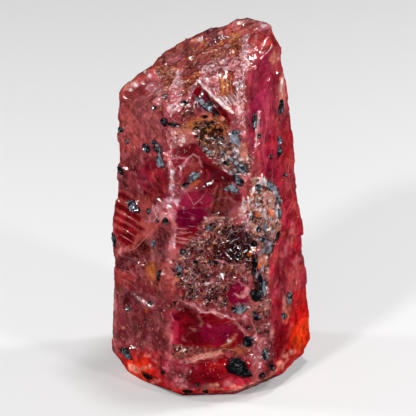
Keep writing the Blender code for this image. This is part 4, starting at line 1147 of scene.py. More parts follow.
@dataclass(frozen=True)
class CrystalFinish:
    """Ruby: painted colour with cloud and grit, glossy where it is clean."""

    name: str = "ruby_crystal_surface"
    ior: float = 1.76
    specular: float = 0.5
    subsurface: float = 0.08
    coat: float = 0.6
    coat_roughness: float = 0.08
    glow_radius: tuple[float, float, float] = (0.5, 0.08, 0.08)
    grit_scales: tuple[float, ...] = (2.7, 6.0)
    swirls: tuple[tuple[float, float, Tint], ...] = ((1.7, 0.09, T.SOOT), (2.3, 0.03, T.PALE_PINK), (1.3, 0.02, T.PEACH))
    swirl_floor: float = 0.13
    grit_cover: float = 0.85
    warp: float = 0.16
    facet_tilt: tuple[float, float] = (0.11, 1.15)
    facet_scale: float = 1.2

    def material(self) -> bpy.types.Material:
        """Builds the material."""
        made = bpy.data.materials.new(self.name)
        made.use_nodes = True
        nodes, links = made.node_tree.nodes, made.node_tree.links
        shader = nodes["Principled BSDF"]
        shader.inputs["IOR"].default_value = self.ior
        shader.inputs["Specular IOR Level"].default_value = self.specular
        shader.inputs["Subsurface Weight"].default_value = self.subsurface
        shader.inputs["Coat Weight"].default_value = self.coat
        shader.inputs["Coat Roughness"].default_value = self.coat_roughness
        shader.inputs["Subsurface Radius"].default_value = self.glow_radius
        shader.inputs["Subsurface Scale"].default_value = METRES
        place = millimetres(nodes, links)
        bent = self.bent(nodes, links, place)
        cells = [voronoi_node(nodes, links, bent, scale) for scale in self.grit_scales]
        tint = self.gritty_tint(nodes, links, place, cells)
        cloud = noise_node(nodes, links, place, 2.4, 4.0)
        fine = noise_node(nodes, links, place, 9.0, 3.0)
        rugged = attribute(nodes, "rugged", "Fac")
        sandy = math_node(nodes, links, "MULTIPLY_ADD", rugged, 1.5, 0.45)
        mist = noise_node(nodes, links, place, 0.9, 3.0)
        value = math_node(nodes, links, "MULTIPLY_ADD", cloud, 1.1, -0.1)
        value = math_node(nodes, links, "MULTIPLY_ADD", mist, 1.1, value)
        grit = math_node(nodes, links, "SUBTRACT", fine, 0.5)
        value = math_node(nodes, links, "MULTIPLY_ADD", grit, sandy, value)
        value = math_node(nodes, links, "MAXIMUM", value, 0.2)
        toned = nodes.new("ShaderNodeVectorMath")
        toned.operation = "SCALE"
        links.new(tint, toned.inputs[0])
        links.new(value, toned.inputs["Scale"])
        links.new(toned.outputs[0], shader.inputs["Base Color"])
        rough = attribute(nodes, "rough", "Fac")
        rough = math_node(nodes, links, "MULTIPLY_ADD", rough, 0.75, -0.1)
        rough = math_node(nodes, links, "MULTIPLY_ADD", mist, 0.2, rough)
        rough = math_node(nodes, links, "MAXIMUM", rough, 0.05)
        links.new(rough, shader.inputs["Roughness"])
        bump = nodes.new("ShaderNodeBump")
        bump.inputs["Strength"].default_value = 0.6
        bump.inputs["Distance"].default_value = 0.05 * METRES
        small = noise_node(nodes, links, place, 7.0, 3.0)
        height = math_node(nodes, links, "MULTIPLY_ADD", rugged, 1.2, 0.22)
        height = math_node(nodes, links, "MULTIPLY", height, small)
        height = math_node(nodes, links, "MULTIPLY_ADD", cloud, 0.9, height)
        links.new(height, bump.inputs["Height"])
        tilt = math_node(nodes, links, "MULTIPLY_ADD", rugged, self.facet_tilt[1], self.facet_tilt[0])
        cells.append(voronoi_node(nodes, links, bent, self.facet_scale))
        links.new(self.faceted(nodes, links, bump.outputs["Normal"], cells, tilt), shader.inputs["Normal"])
        return made

    def bent(
        self, nodes: bpy.types.Nodes, links: bpy.types.NodeLinks, place: bpy.types.NodeSocket
    ) -> bpy.types.NodeSocket:
        """The place, bent by noise, so that the cells are drawn out and curved."""
        noise_at = nodes.new("ShaderNodeTexNoise")
        noise_at.inputs["Scale"].default_value = 1.6
        links.new(place, noise_at.inputs["Vector"])
        bend = nodes.new("ShaderNodeVectorMath")
        bend.operation = "MULTIPLY_ADD"
        links.new(noise_at.outputs["Color"], bend.inputs[0])
        bend.inputs[1].default_value = (self.warp * 3,) * 3
        links.new(place, bend.inputs[2])
        return bend.outputs[0]

    def gritty_tint(
        self,
        nodes: bpy.types.Nodes,
        links: bpy.types.NodeLinks,
        place: bpy.types.NodeSocket,
        cells: list[bpy.types.NodeSocket],
    ) -> bpy.types.NodeSocket:
        """The painted colour with every grit laid into it, cell by cell."""
        tint = attribute(nodes, "tint", "Color")
        for grit in GRITS:
            amount = attribute(nodes, grit.amount, "Fac")
            level = math_node(nodes, links, "MULTIPLY", amount, grit.strength)
            for cell in cells:
                picked = palette_node(nodes, links, cell, grit.tints)
                parts = nodes.new("ShaderNodeSeparateXYZ")
                links.new(cell, parts.inputs[0])
                over = math_node(nodes, links, "SUBTRACT", level, parts.outputs["Z"])
                over = math_node(nodes, links, "MULTIPLY", over, 9.0)
                over = math_node(nodes, links, "MAXIMUM", over, 0.0)
                share = math_node(nodes, links, "MINIMUM", over, self.grit_cover)
                tint = mix_node(nodes, links, share, tint, picked)
        grain = attribute(nodes, "grain", "Fac")
        thin = noise_node(nodes, links, place, 0.8, 2.0)
        thin = math_node(nodes, links, "MULTIPLY_ADD", thin, 5.0, -2.4)
        thin = math_node(nodes, links, "MINIMUM", thin, self.swirl_floor)
        thin = math_node(nodes, links, "MULTIPLY", thin, attribute(nodes, "cloudy", "Fac"))
        grain = math_node(nodes, links, "MAXIMUM", grain, thin)
        for scale, width, colour in self.swirls:
            swirl = noise_node(nodes, links, place, scale, 2.0)
            swirl = math_node(nodes, links, "SUBTRACT", swirl, 0.5)
            swirl = math_node(nodes, links, "ABSOLUTE", swirl)
            swirl = math_node(nodes, links, "MULTIPLY_ADD", swirl, -1 / width, 1.0)
            swirl = math_node(nodes, links, "MAXIMUM", swirl, 0.0)
            swirl = math_node(nodes, links, "MULTIPLY", swirl, grain)
            tint = mix_node(nodes, links, swirl, tint, (*colour.linear(), 1))
        return tint

    def faceted(
        self,
        nodes: bpy.types.Nodes,
        links: bpy.types.NodeLinks,
        normal: bpy.types.NodeSocket,
        cells: list[bpy.types.NodeSocket],
        tilt: bpy.types.NodeSocket,
    ) -> bpy.types.NodeSocket:
        """The normal with each cell leaning its own way, so that grains glint one by one."""
        for cell in cells:
            lean = nodes.new("ShaderNodeVectorMath")
            lean.operation = "SUBTRACT"
            lean.inputs[1].default_value = (0.5, 0.5, 0.5)
            links.new(cell, lean.inputs[0])
            scaled = nodes.new("ShaderNodeVectorMath")
            scaled.operation = "SCALE"
            links.new(lean.outputs[0], scaled.inputs[0])
            links.new(tilt, scaled.inputs["Scale"])
            total = nodes.new("ShaderNodeVectorMath")
            total.operation = "ADD"
            links.new(normal, total.inputs[0])
            links.new(scaled.outputs[0], total.inputs[1])
            normal = total.outputs[0]
        unit = nodes.new("ShaderNodeVectorMath")
        unit.operation = "NORMALIZE"
        links.new(normal, unit.inputs[0])
        return unit.outputs[0]


@dataclass(frozen=True)
class FlakeFinish:
    """Mica: pearly dark grey in thin sheets."""

    name: str = "pearly_mica"
    metallic: float = 0.45

    def material(self) -> bpy.types.Material:
        """Builds the material."""
        made = bpy.data.materials.new(self.name)
        made.use_nodes = True
        nodes, links = made.node_tree.nodes, made.node_tree.links
        shader = nodes["Principled BSDF"]
        shader.inputs["Metallic"].default_value = self.metallic
        shader.inputs["IOR"].default_value = 1.6
        place = millimetres(nodes, links)
        tone = attribute(nodes, "tone", "Fac")
        cloud = noise_node(nodes, links, place, 4.6, 4.0)
        value = math_node(nodes, links, "MULTIPLY_ADD", cloud, 2.6, -1.3)
        value = math_node(nodes, links, "MULTIPLY_ADD", tone, 0.95, value)
        ramp = nodes.new("ShaderNodeValToRGB")
        ramp.color_ramp.elements[0].color = (0.008, 0.007, 0.009, 1)
        ramp.color_ramp.elements[1].color = (0.42, 0.46, 0.54, 1)
        for position, level in ((0.3, 0.025), (0.6, 0.12)):
            middle = ramp.color_ramp.elements.new(position)
            middle.color = (level, 1.08 * level, 1.3 * level, 1)
        links.new(value, ramp.inputs["Fac"])
        links.new(ramp.outputs["Color"], shader.inputs["Base Color"])
        fine = noise_node(nodes, links, place, 8.0, 3.0)
        rough = math_node(nodes, links, "MULTIPLY_ADD", fine, 0.3, 0.02)
        links.new(rough, shader.inputs["Roughness"])
        bump = nodes.new("ShaderNodeBump")
        bump.inputs["Strength"].default_value = 0.6
        bump.inputs["Distance"].default_value = 0.05 * METRES
        links.new(cloud, bump.inputs["Height"])
        links.new(bump.outputs["Normal"], shader.inputs["Normal"])
        return made


@dataclass(frozen=True)
class GrainFinish:
    """Grains that take the colour of the stone where they lie, some pale and some dark."""

    name: str
    pale: tuple[float, float, float, float]
    dark: tuple[float, float, float, float]
    roughness: float
    own_share: float = 0.6

    def material(self) -> bpy.types.Material:
        """Builds the material."""
        made = bpy.data.materials.new(self.name)
        made.use_nodes = True
        nodes, links = made.node_tree.nodes, made.node_tree.links
        shader = nodes["Principled BSDF"]
        shader.inputs["IOR"].default_value = 1.6
        tint = attribute(nodes, "tint", "Color")
        tone = attribute(nodes, "tone", "Fac")
        ramp = nodes.new("ShaderNodeValToRGB")
        ramp.color_ramp.elements[0].color = self.dark
        ramp.color_ramp.elements[1].color = self.pale
        links.new(tone, ramp.inputs["Fac"])
        mixed = mix_node(nodes, links, None, tint, ramp.outputs["Color"], self.own_share)
        links.new(mixed, shader.inputs["Base Color"])
        place = millimetres(nodes, links)
        fine = noise_node(nodes, links, place, 8.0, 3.0)
        rough = math_node(nodes, links, "MULTIPLY_ADD", fine, 0.3, self.roughness - 0.15)
        links.new(rough, shader.inputs["Roughness"])
        return made


def millimetres(nodes: bpy.types.Nodes, links: bpy.types.NodeLinks) -> bpy.types.NodeSocket:
    """Object coordinates in millimetres."""
    source = nodes.new("ShaderNodeTexCoord")
    scale = nodes.new("ShaderNodeVectorMath")
    scale.operation = "SCALE"
    scale.inputs["Scale"].default_value = 1 / METRES
    links.new(source.outputs["Object"], scale.inputs[0])
    return scale.outputs[0]


def attribute(nodes: bpy.types.Nodes, name: str, output: str) -> bpy.types.NodeSocket:
    """An attribute of the mesh, by the name of its output."""
    node = nodes.new("ShaderNodeAttribute")
    node.attribute_name = name
    return node.outputs[output]


def noise_node(
    nodes: bpy.types.Nodes, links: bpy.types.NodeLinks, place: bpy.types.NodeSocket, scale: float, detail: float
) -> bpy.types.NodeSocket:
    """Noise from 0 to 1 at a place, with this many periods to the millimetre."""
    node = nodes.new("ShaderNodeTexNoise")
    node.inputs["Scale"].default_value = scale
    node.inputs["Detail"].default_value = detail
    links.new(place, node.inputs["Vector"])
    return node.outputs["Fac"]


def voronoi_node(
    nodes: bpy.types.Nodes, links: bpy.types.NodeLinks, place: bpy.types.NodeSocket, scale: float
) -> bpy.types.NodeSocket:
    """A random colour for each angular cell, with this many cells to the millimetre."""
    node = nodes.new("ShaderNodeTexVoronoi")
    node.inputs["Scale"].default_value = scale
    links.new(place, node.inputs["Vector"])
    return node.outputs["Color"]


def palette_node(
    nodes: bpy.types.Nodes, links: bpy.types.NodeLinks, pick: bpy.types.NodeSocket, tints: tuple[Tint, ...]
) -> bpy.types.NodeSocket:
    """One of several tints, picked by the first number of a random colour."""
    parts = nodes.new("ShaderNodeSeparateColor")
    links.new(pick, parts.inputs[0])
    ramp = nodes.new("ShaderNodeValToRGB")
    ramp.color_ramp.interpolation = "CONSTANT"
    elements = ramp.color_ramp.elements
    for i, tint in enumerate(tints):
        stop = elements[i] if i < 2 else elements.new(i / len(tints))
        stop.position = i / len(tints)
        stop.color = (*tint.linear(), 1)
    links.new(parts.outputs[0], ramp.inputs["Fac"])
    return ramp.outputs["Color"]


def math_node(nodes: bpy.types.Nodes, links: bpy.types.NodeLinks, operation: str, *values: object) -> bpy.types.NodeSocket:
    """A Math node.

    Args:
        nodes: The material's nodes.
        links: The material's links.
        operation: What the node does.
        values: Its inputs in order: a socket or a number each.

    Returns:
        Its result.
    """
    node = nodes.new("ShaderNodeMath")
    node.operation = operation
    for socket, value in zip(node.inputs, values):
        if isinstance(value, bpy.types.NodeSocket):
            links.new(value, socket)
        else:
            socket.default_value = value
    return node.outputs[0]


def mix_node(
    nodes: bpy.types.Nodes,
    links: bpy.types.NodeLinks,
    amount: bpy.types.NodeSocket | None,
    low: bpy.types.NodeSocket,
    high: object,
    share: float = 0.5,
) -> bpy.types.NodeSocket:
    """A mix of two colours.

    Args:
        nodes: The material's nodes.
        links: The material's links.
        amount: How much of the second colour shows, or None for a fixed share.
        low: The first colour.
        high: The second colour, as a socket or as a value.
        share: The fixed share.

    Returns:
        The mixed colour.
    """
    node = nodes.new("ShaderNodeMix")
    node.data_type = "RGBA"
    if amount is None:
        node.inputs["Factor"].default_value = share
    else:
        links.new(amount, node.inputs["Factor"])
    links.new(low, node.inputs[6])
    if isinstance(high, bpy.types.NodeSocket):
        links.new(high, node.inputs[7])
    else:
        node.inputs[7].default_value = high
    return node.outputs[2]


def numbers(mesh: bpy.types.Mesh) -> tuple[Points, Points]:
    """A mesh's points and their normals."""
    points = np.empty(len(mesh.vertices) * 3)
    mesh.vertices.foreach_get("co", points)
    normals = np.empty(len(mesh.vertices) * 3)
    mesh.vertex_normals.foreach_get("vector", normals)
    return points.reshape(-1, 3), normals.reshape(-1, 3)


def set_points(mesh: bpy.types.Mesh, points: Points) -> None:
    """Moves a mesh's points."""
    mesh.vertices.foreach_set("co", points.ravel())
    mesh.update()


def set_amount(mesh: bpy.types.Mesh, name: str, values: Points) -> None:
    """Keeps a number for each point as a named attribute."""
    mesh.attributes.new(name, "FLOAT", "POINT").data.foreach_set("value", values.astype(np.float32))


def set_colour(mesh: bpy.types.Mesh, name: str, values: Points) -> None:
    """Keeps a colour for each point as a named attribute."""
    with_alpha = np.column_stack([values, np.ones(len(values))]).astype(np.float32)
    mesh.attributes.new(name, "FLOAT_COLOR", "POINT").data.foreach_set("color", with_alpha.ravel())


def cad_box() -> tuple[Points, Points]:
    """The solid's lowest and highest corner, in millimetres."""
    low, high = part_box("ruby_crystal")
    return np.array(low) / METRES, np.array(high) / METRES


def kept_inside(points: Points) -> Points:
    """The points, with any that lie outside the solid's box moved onto it."""
    low, high = cad_box()
    return np.clip(points, low, high)


def applied(holder: bpy.types.Object) -> bpy.types.Mesh:
    """The plain mesh that an object's modifiers make."""
    bpy.context.view_layer.update()
    evaluated = holder.evaluated_get(bpy.context.evaluated_depsgraph_get())
    return bpy.data.meshes.new_from_object(evaluated)


@dataclass
class CrystalBody:
    """The crystal itself: its block, its weathering, its fine relief and its paint."""

    block_side: float = 40.0
    mesh_step: float = 0.1
    kept_share: float = 0.65
    grain_height: float = 0.075
    frost_height: float = 0.07
    skin_height: float = 0.02
    inset: float = 0.997
    flat_from: float = 0.8
    finish: CrystalFinish = field(default_factory=CrystalFinish)

    def block(self) -> bpy.types.Mesh:
        """The bare crystal: a block cut by every natural face."""
        shape = bmesh.new()
        bmesh.ops.create_cube(shape, size=self.block_side)
        bmesh.ops.translate(shape, verts=shape.verts, vec=(0, 0, self.block_side / 2 - 1))
        for face in FACES.values():
            cut = bmesh.ops.bisect_plane(
                shape,
                geom=[*shape.verts, *shape.edges, *shape.faces],
                plane_co=face.point(),
                plane_no=face.normal(),
                clear_outer=True,
            )
            rim = [part for part in cut["geom_cut"] if isinstance(part, bmesh.types.BMEdge)]
            bmesh.ops.edgeloop_fill(shape, edges=rim)
        bmesh.ops.recalc_face_normals(shape, faces=shape.faces)
        mesh = bpy.data.meshes.new("cleaved_block")
        shape.to_mesh(mesh)
        shape.free()
        return mesh

    def evenly_meshed(self, mesh: bpy.types.Mesh) -> bpy.types.Mesh:
        """The same shape in small, even faces, finer on the front than behind."""
        holder = bpy.data.objects.new("even_block", mesh)
        bpy.context.scene.collection.objects.link(holder)
        remesh = holder.modifiers.new("even", "REMESH")
        remesh.mode = "VOXEL"
        remesh.voxel_size = self.mesh_step
        even = applied(holder)
        behind = holder.vertex_groups.new(name="behind")
        holder.data = even
        _, normals = numbers(even)
        hidden = smooth(0.5 - normals @ toward_eye(Side.FRONT) * 2.5)
        for step in range(1, 9):
            level = np.nonzero(np.round(hidden * 8) == step)[0]
            behind.add(level.tolist(), step / 8, "REPLACE")
        holder.modifiers.clear()
        fewer = holder.modifiers.new("fewer", "DECIMATE")
        fewer.ratio = self.kept_share
        fewer.vertex_group = "behind"
        fewer.vertex_group_factor = 10
        fewer.use_collapse_triangulate = True
        coarser = applied(holder)
        bpy.data.objects.remove(holder)
        return coarser

    def fitted(self, points: Points) -> Points:
        """The points set over the origin and just inside the solid's box."""
        low, high = cad_box()
        lowest, highest = points.min(axis=0), points.max(axis=0)
        scale = (high - low) / (highest - lowest) * self.inset
        middle = (lowest + highest) / 2
        moved = (points - middle) * scale
        moved[:, :2] += (low[:2] + high[:2]) / 2
        moved[:, 2] -= moved[:, 2].min()
        return moved

    def fine_relief(self, canvas: Canvas) -> Points:
        """The height of the finest relief: grains, frosted chips and the paint's own ridges."""
        points = canvas.points
        grain = 1 - 2.4 * np.abs(wander(points, 0.62, 51.0)) + 0.5 * wander(points, 0.2, 52.0)
        cells = np.zeros(len(points))
        gritty = canvas.grain + canvas.ore + canvas.crust
        frosty = np.nonzero(canvas.rugged > 0.05)[0]
        for i in frosty:
            place = Vector(points[i]) / 0.55
            cell = noise.voronoi(place)[1][0]
            cells[i] = (place - cell).dot(noise.noise_vector(cell * 3.1))
        height = canvas.rise + self.skin_height * wander(points, 0.3, 53.0)
        height += self.grain_height * gritty * (0.9 * grain + 0.9 * cells)
        height += self.frost_height * canvas.frost * (2.2 * cells + grain * 0.6)
        return height * smooth(points[:, 2] / 0.4)

    def build(self) -> bpy.types.Object:
        """Builds, paints and places the crystal.

        Returns:
            The finished piece.
        """
        mesh = self.evenly_meshed(self.block())
        points, normals = numbers(mesh)
        set_points(mesh, self.fitted(Weathering().applied(points, normals)))
        canvas = Canvas(*numbers(mesh))
        canvas.paint(BACK_PAINT + beds(Side.BACK), Side.BACK)
        canvas.paint(FRONT_PAINT + beds(Side.FRONT), Side.FRONT)
        canvas.veil()
        canvas.cleave()
        canvas.speckle()
        canvas.deepen()
        relief = self.fine_relief(canvas)
        # Painted shade in the hollows and painted highlight on the crests of the fine relief.
        canvas.paint_relief_shade_and_highlight(relief)
        raised = canvas.points + canvas.normals * relief[:, None]
        set_points(mesh, kept_inside(raised) * METRES)
        set_colour(mesh, "tint", canvas.colour)
        for name in ("grain", "frost", "ore", "crust", "rough", "rugged"):
            set_amount(mesh, name, getattr(canvas, name))
        set_amount(mesh, "gritty", canvas.grain + canvas.ore + canvas.crust)
        set_amount(mesh, "cloudy", canvas.cloudy)
        rugged = canvas.rugged
        corners = np.empty(len(mesh.polygons) * 3, dtype=np.int32)
        mesh.loops.foreach_get("vertex_index", corners)
        even = rugged[corners].reshape(-1, 3).mean(axis=1) < self.flat_from
        mesh.polygons.foreach_set("use_smooth", even)
        mesh.materials.append(self.finish.material())
        body = bpy.data.objects.new("crystal_body", mesh)
        bpy.context.scene.collection.objects.link(body)
        return body


@dataclass(frozen=True)
class Flake:
    """One mica flake: its pixel, its half length and half width in pixels, and its turn.

    turn is in degrees from level, turning down to the right, and tone runs from 0, black, to
    1, silver.
    """

    pixel: tuple[float, float]
    size: tuple[float, float]
    turn: float = 0.0
    tone: float = 0.5
    side: Side = Side.FRONT


FLAKES = (
    # The left face
    Flake((155, 143), (2.6, 2.2), 0, 0.5), Flake((159, 150), (6, 3), 66, 0.55), Flake((161, 162), (6.5, 4), 70, 0.8),
    Flake((147, 149), (4.8, 3.2), 62, 0.6), Flake((155.5, 109), (2, 2), 0, 0.4), Flake((121, 130), (2.6, 2.2), 20, 0.45),
    Flake((128, 142), (1.7, 2), 0, 0.8), Flake((117, 172), (1.8, 2.4), 0, 0.95), Flake((121, 171), (5, 1.8), 64, 0.1),
    Flake((134, 207), (6.5, 4), 52, 0.75), Flake((131, 203), (3, 2.6), 20, 0.9), Flake((149, 211), (3, 1.4), 84, 0.4),
    Flake((158, 221), (1.6, 1.5), 0, 0.1), Flake((166, 221), (3.4, 2.4), 80, 0.25), Flake((154, 243), (3, 1.8), 90, 0.85),
    Flake((114, 240), (6, 1.8), 80, 0.5), Flake((159, 275), (5, 1.5), 96, 0.3), Flake((127, 309), (2.6, 1.6), 10, 0.7),
    Flake((150, 303), (2.4, 1.5), 30, 0.6), Flake((126, 354), (7, 3.4), 52, 0.6), Flake((147, 377), (4.5, 1.7), 24, 0.0),
    Flake((163, 372), (1.7, 1.5), 0, 0.1),
    # The top of the front and the pit
    Flake((165, 123), (3.6, 3.4), 40, 0.25), Flake((174, 126), (6.5, 1.6), 10, 0.15), Flake((199, 103), (5, 3.2), 24, 0.95),
    Flake((207, 108), (6.5, 3.8), 26, 0.6), Flake((216, 115), (2.6, 2.6), 0, 0.3), Flake((184, 104), (2.4, 1.8), 0, 0.5),
    Flake((253.5, 122), (8, 2.3), 98, 0.5), Flake((280.5, 108), (7, 2.2), 95, 0.5), Flake((234, 139), (7.5, 6), 34, 1.15),
    Flake((242, 169), (5.5, 4.5), 24, 0.6), Flake((232, 160), (3, 2), 20, 0.8), Flake((222, 153), (2.4, 1.8), 0, 0.8),
    Flake((226, 164), (3.4, 1.8), 28, 0.2), Flake((258, 137), (1.7, 1.9), 0, 0.4), Flake((279, 141), (4.4, 1.9), 86, 0.7),
    Flake((278.5, 152), (5.4, 2), 96, 0.4), Flake((270, 157), (2, 1.4), 90, 0.5), Flake((284.5, 175), (2, 1.7), 0, 0.6),
    Flake((194, 177), (6.4, 3.8), -36, 0.85), Flake((186, 185), (4, 1.8), -34, 0.1), Flake((205, 118), (2.4, 1.6), 0, 0.2),
    # The middle, the hollow and the crust on the edge
    Flake((238, 181), (6, 3.6), 56, 0.4), Flake((232, 189), (6, 4), 10, 1.0), Flake((258, 188), (3.6, 3), 60, 0.7),
    Flake((271, 187), (5.5, 3.4), 40, 0.9), Flake((278, 199), (6, 1.9), 80, 0.85), Flake((279, 214), (5, 1.5), 92, 0.7),
    Flake((264, 227), (3.6, 2), 84, 0.95), Flake((258, 229), (3, 2.2), 80, 0.1), Flake((277, 235), (5, 2), 100, 0.15),
    Flake((262, 239), (4, 3), 30, 0.6), Flake((269, 249), (4.4, 2.4), -60, 1.0), Flake((254, 243), (5, 3), 70, 0.1),
    Flake((254, 262), (6, 2.6), 84, 0.05), Flake((260, 282), (8.5, 2.2), 88, 0.1), Flake((264, 288), (8, 1.8), 88, 0.8),
    Flake((256, 295), (6.5, 4.6), 40, 0.05), Flake((253, 270), (4, 2), 100, 0.2), Flake((183, 251), (2.8, 2.2), 0, 0.4),
    Flake((179, 268), (3.4, 2.6), 30, 0.9), Flake((180, 274), (2.4, 1.8), 0, 0.0), Flake((209, 228), (3.4, 2), -10, 0.7),
    Flake((236, 256), (3, 2), 10, 0.0), Flake((216, 262), (2.6, 1.8), 20, 0.1), Flake((196, 262), (2.4, 1.6), 40, 0.1),
    # The foot
    Flake((240, 309), (5.6, 3.8), -6, 1.0), Flake((234, 309), (2.4, 2.8), 0, 0.0), Flake((256, 316), (4.6, 2.6), 52, 0.35),
    Flake((248, 341), (6, 4.6), -24, 0.15), Flake((239, 368), (12, 7), 34, 0.1), Flake((235, 363), (6, 1.3), 30, 0.55),
    Flake((244, 373), (5, 1.1), 40, 0.5), Flake((232, 367), (4, 1), 46, 0.45), Flake((265, 354), (6.4, 2.8), 82, 0.5),
    Flake((272, 367), (4, 1.8), 78, 0.05), Flake((262, 375), (3, 2.2), 0, 0.15), Flake((248, 327), (1.8, 1.4), 0, 0.1),
    Flake((187, 391), (4.5, 1.6), 4, 0.0), Flake((206, 391), (3, 1.3), 0, 0.0), Flake((197, 384), (1.9, 1.6), 0, 0.1),
    Flake((289, 298), (6.4, 2.6), 98, 0.75), Flake((284, 316), (3, 2), 80, 0.7),
    # The far side
    Flake((150, 170), (9, 4), 70, 0.6, Side.BACK), Flake((208, 156), (8, 6), 30, 0.9, Side.BACK),
    Flake((262, 238), (9, 4), 84, 0.5, Side.BACK), Flake((212, 220), (8, 5), -36, 0.2, Side.BACK),
    Flake((160, 286), (8, 4), 70, 0.7, Side.BACK), Flake((246, 326), (10, 7), 16, 0.05, Side.BACK),
    Flake((200, 352), (7, 5), 0, 0.5, Side.BACK), Flake((284, 196), (8, 4), 80, 0.8, Side.BACK),
    Flake((262, 290), (7, 5), -30, 0.3, Side.BACK), Flake((180, 140), (4, 3), 20, 0.4, Side.BACK),
    Flake((232, 232), (5, 3), 50, 0.1, Side.BACK), Flake((190, 180), (4, 2.4), -20, 0.7, Side.BACK),
    Flake((140, 240), (5, 3), 80, 0.2, Side.BACK), Flake((172, 330), (4, 3), 10, 0.6, Side.BACK),
    Flake((240, 120), (4, 3), 40, 0.3, Side.BACK), Flake((276, 330), (4, 3), 60, 0.5, Side.BACK),
    Flake((222, 370), (5, 3), 10, 0.1, Side.BACK), Flake((128, 330), (5, 3), 70, 0.4, Side.BACK),
)


def beds(side: Side) -> tuple[Spot, ...]:
    """The dark beds that the flakes of one side lie in."""
    return tuple(
        Spot(T.SOOT, (flake.pixel,), 1.4, 0.75, 0.8, rough=0.2, size=(flake.size[0] + 0.4, flake.size[1] + 0.4), turn=flake.turn)
        for flake in FLAKES
        if flake.side is side
    )


@dataclass
class Sightings:
    """Finds where lines of sight meet the finished stone."""

    stone: BVHTree

    def landing(self, column: float, row: float, side: Side) -> tuple[Points, Points, int] | None:
        """Where the line of sight through a pixel meets the stone: the point, normal and face."""
        across = (column - AXIS_PIXEL) * PIXEL * side.value
        height = (BASE_PIXEL - row) * PIXEL
        start = np.array([across, height * math.sin(PITCH) * side.value, height * math.cos(PITCH)])
        eye = toward_eye(side)
        hit, normal, index, _ = self.stone.ray_cast(Vector(start + eye * 30), Vector(-eye))
        return None if hit is None else (np.array(hit), np.array(normal), index)

    def patch(self, column: float, row: float, side: Side, spread: float) -> tuple[Points, Points] | None:
        """The mean point and normal of the stone around a pixel."""
        around = [self.landing(column, row, side)]
        for step in range(6):
            angle = step * math.pi / 3
            around.append(self.landing(column + spread * math.cos(angle), row + spread * math.sin(angle), side))
        if around[0] is None:
            return None
        centre = around[0][0]
        near = [spot for spot in around if spot is not None and np.linalg.norm(spot[0] - centre) < 1.2]
        normal = sum(spot[1] for spot in near)
        return centre, normal / np.linalg.norm(normal)


@dataclass
class MicaFlakes:
    """The mica: each flake is a few thin sheets, one on another, bedded in the stone."""

    sightings: Sightings
    sheets: tuple[tuple[float, float], ...] = ((1.08, 0.015), (0.92, 0.04), (0.7, 0.065), (0.46, 0.085))
    sheet_tones: tuple[float, ...] = (-0.45, 0.1, -0.2, 0.15)
    corners: int = 13
    root: float = 0.25
    furthest: float = 0.45
    finish: FlakeFinish = field(default_factory=FlakeFinish)

    def sheet(
        self, flake: Flake, seat: tuple[Points, Points], seed: float, size: float, rise: float
    ) -> tuple[list[Points], list[Points]]:
        """One sheet's rim.

        Args:
            flake: The flake that it belongs to.
            seat: The stone's point and normal under the flake.
            seed: Tells its ragged outline from others.
            size: Its share of the flake's size.
            rise: Its height over the stone.

        Returns:
            The rim above the stone and the rim that is bedded in it.
        """
        centre, normal = seat
        eye = toward_eye(flake.side)
        turn = math.radians(flake.turn)
        shift = 0.5 * (1 - size)
        top, bottom = [], []
        for i in range(self.corners):
            angle = 2 * math.pi * i / self.corners
            ragged = 1 + 0.16 * math.sin(3 * angle + seed) + 0.38 * (math.sin(91.7 * (i + 3.1 * seed)) ** 2 - 0.5)
            along = (math.cos(angle) * size * ragged + shift * math.sin(5 * seed)) * flake.size[0]
            aside = (math.sin(angle) * size * ragged + shift * math.cos(7 * seed)) * flake.size[1]
            column = flake.pixel[0] + along * math.cos(turn) - aside * math.sin(turn)
            row = flake.pixel[1] + along * math.sin(turn) + aside * math.cos(turn)
            spot = self.sightings.landing(column, row, flake.side)
            start = self.on_plane(column, row, flake.side)
            level = start + eye * ((centre - start) @ normal / max(eye @ normal, 0.2))
            if spot is not None and np.linalg.norm(spot[0] - level) < self.furthest:
                level = 0.5 * (level + spot[0])
            top.append(level + normal * rise * (1 + 0.7 * math.cos(angle + 3 * seed)))
            bottom.append(level - normal * self.root)
        return top, bottom

    def on_plane(self, column: float, row: float, side: Side) -> Points:
        """The point of the sighting plane, through the axis, that a pixel shows."""
        height = (BASE_PIXEL - row) * PIXEL
        across = (column - AXIS_PIXEL) * PIXEL * side.value
        return np.array([across, height * math.sin(PITCH) * side.value, height * math.cos(PITCH)])

    def build(self) -> bpy.types.Object:
        """Builds every flake as one piece."""
        points, faces, tones = [], [], []
        for number, flake in enumerate(FLAKES):
            seat = self.sightings.patch(*flake.pixel, flake.side, min(flake.size))
            if seat is None:
                continue
            for step, (size, rise) in enumerate(self.sheets):
                top, bottom = self.sheet(flake, seat, number * 1.7 + step, size, rise)
                first, count = len(points), self.corners
                points += [*top, *bottom, sum(top) / count, sum(bottom) / count]
                for i in range(count):
                    j = (i + 1) % count
                    faces.append((first + i, first + j, first + count + j, first + count + i))
                    faces.append((first + 2 * count, first + j, first + i))
                    faces.append((first + 2 * count + 1, first + count + i, first + count + j))
                tones += [flake.tone + self.sheet_tones[step]] * (2 * count + 2)
        mesh = closed_mesh("mica_flakes", points, faces)
        set_amount(mesh, "tone", np.array(tones))
        mesh.materials.append(self.finish.material())
        flakes = bpy.data.objects.new("mica_flakes", mesh)
        bpy.context.scene.collection.objects.link(flakes)
        return flakes


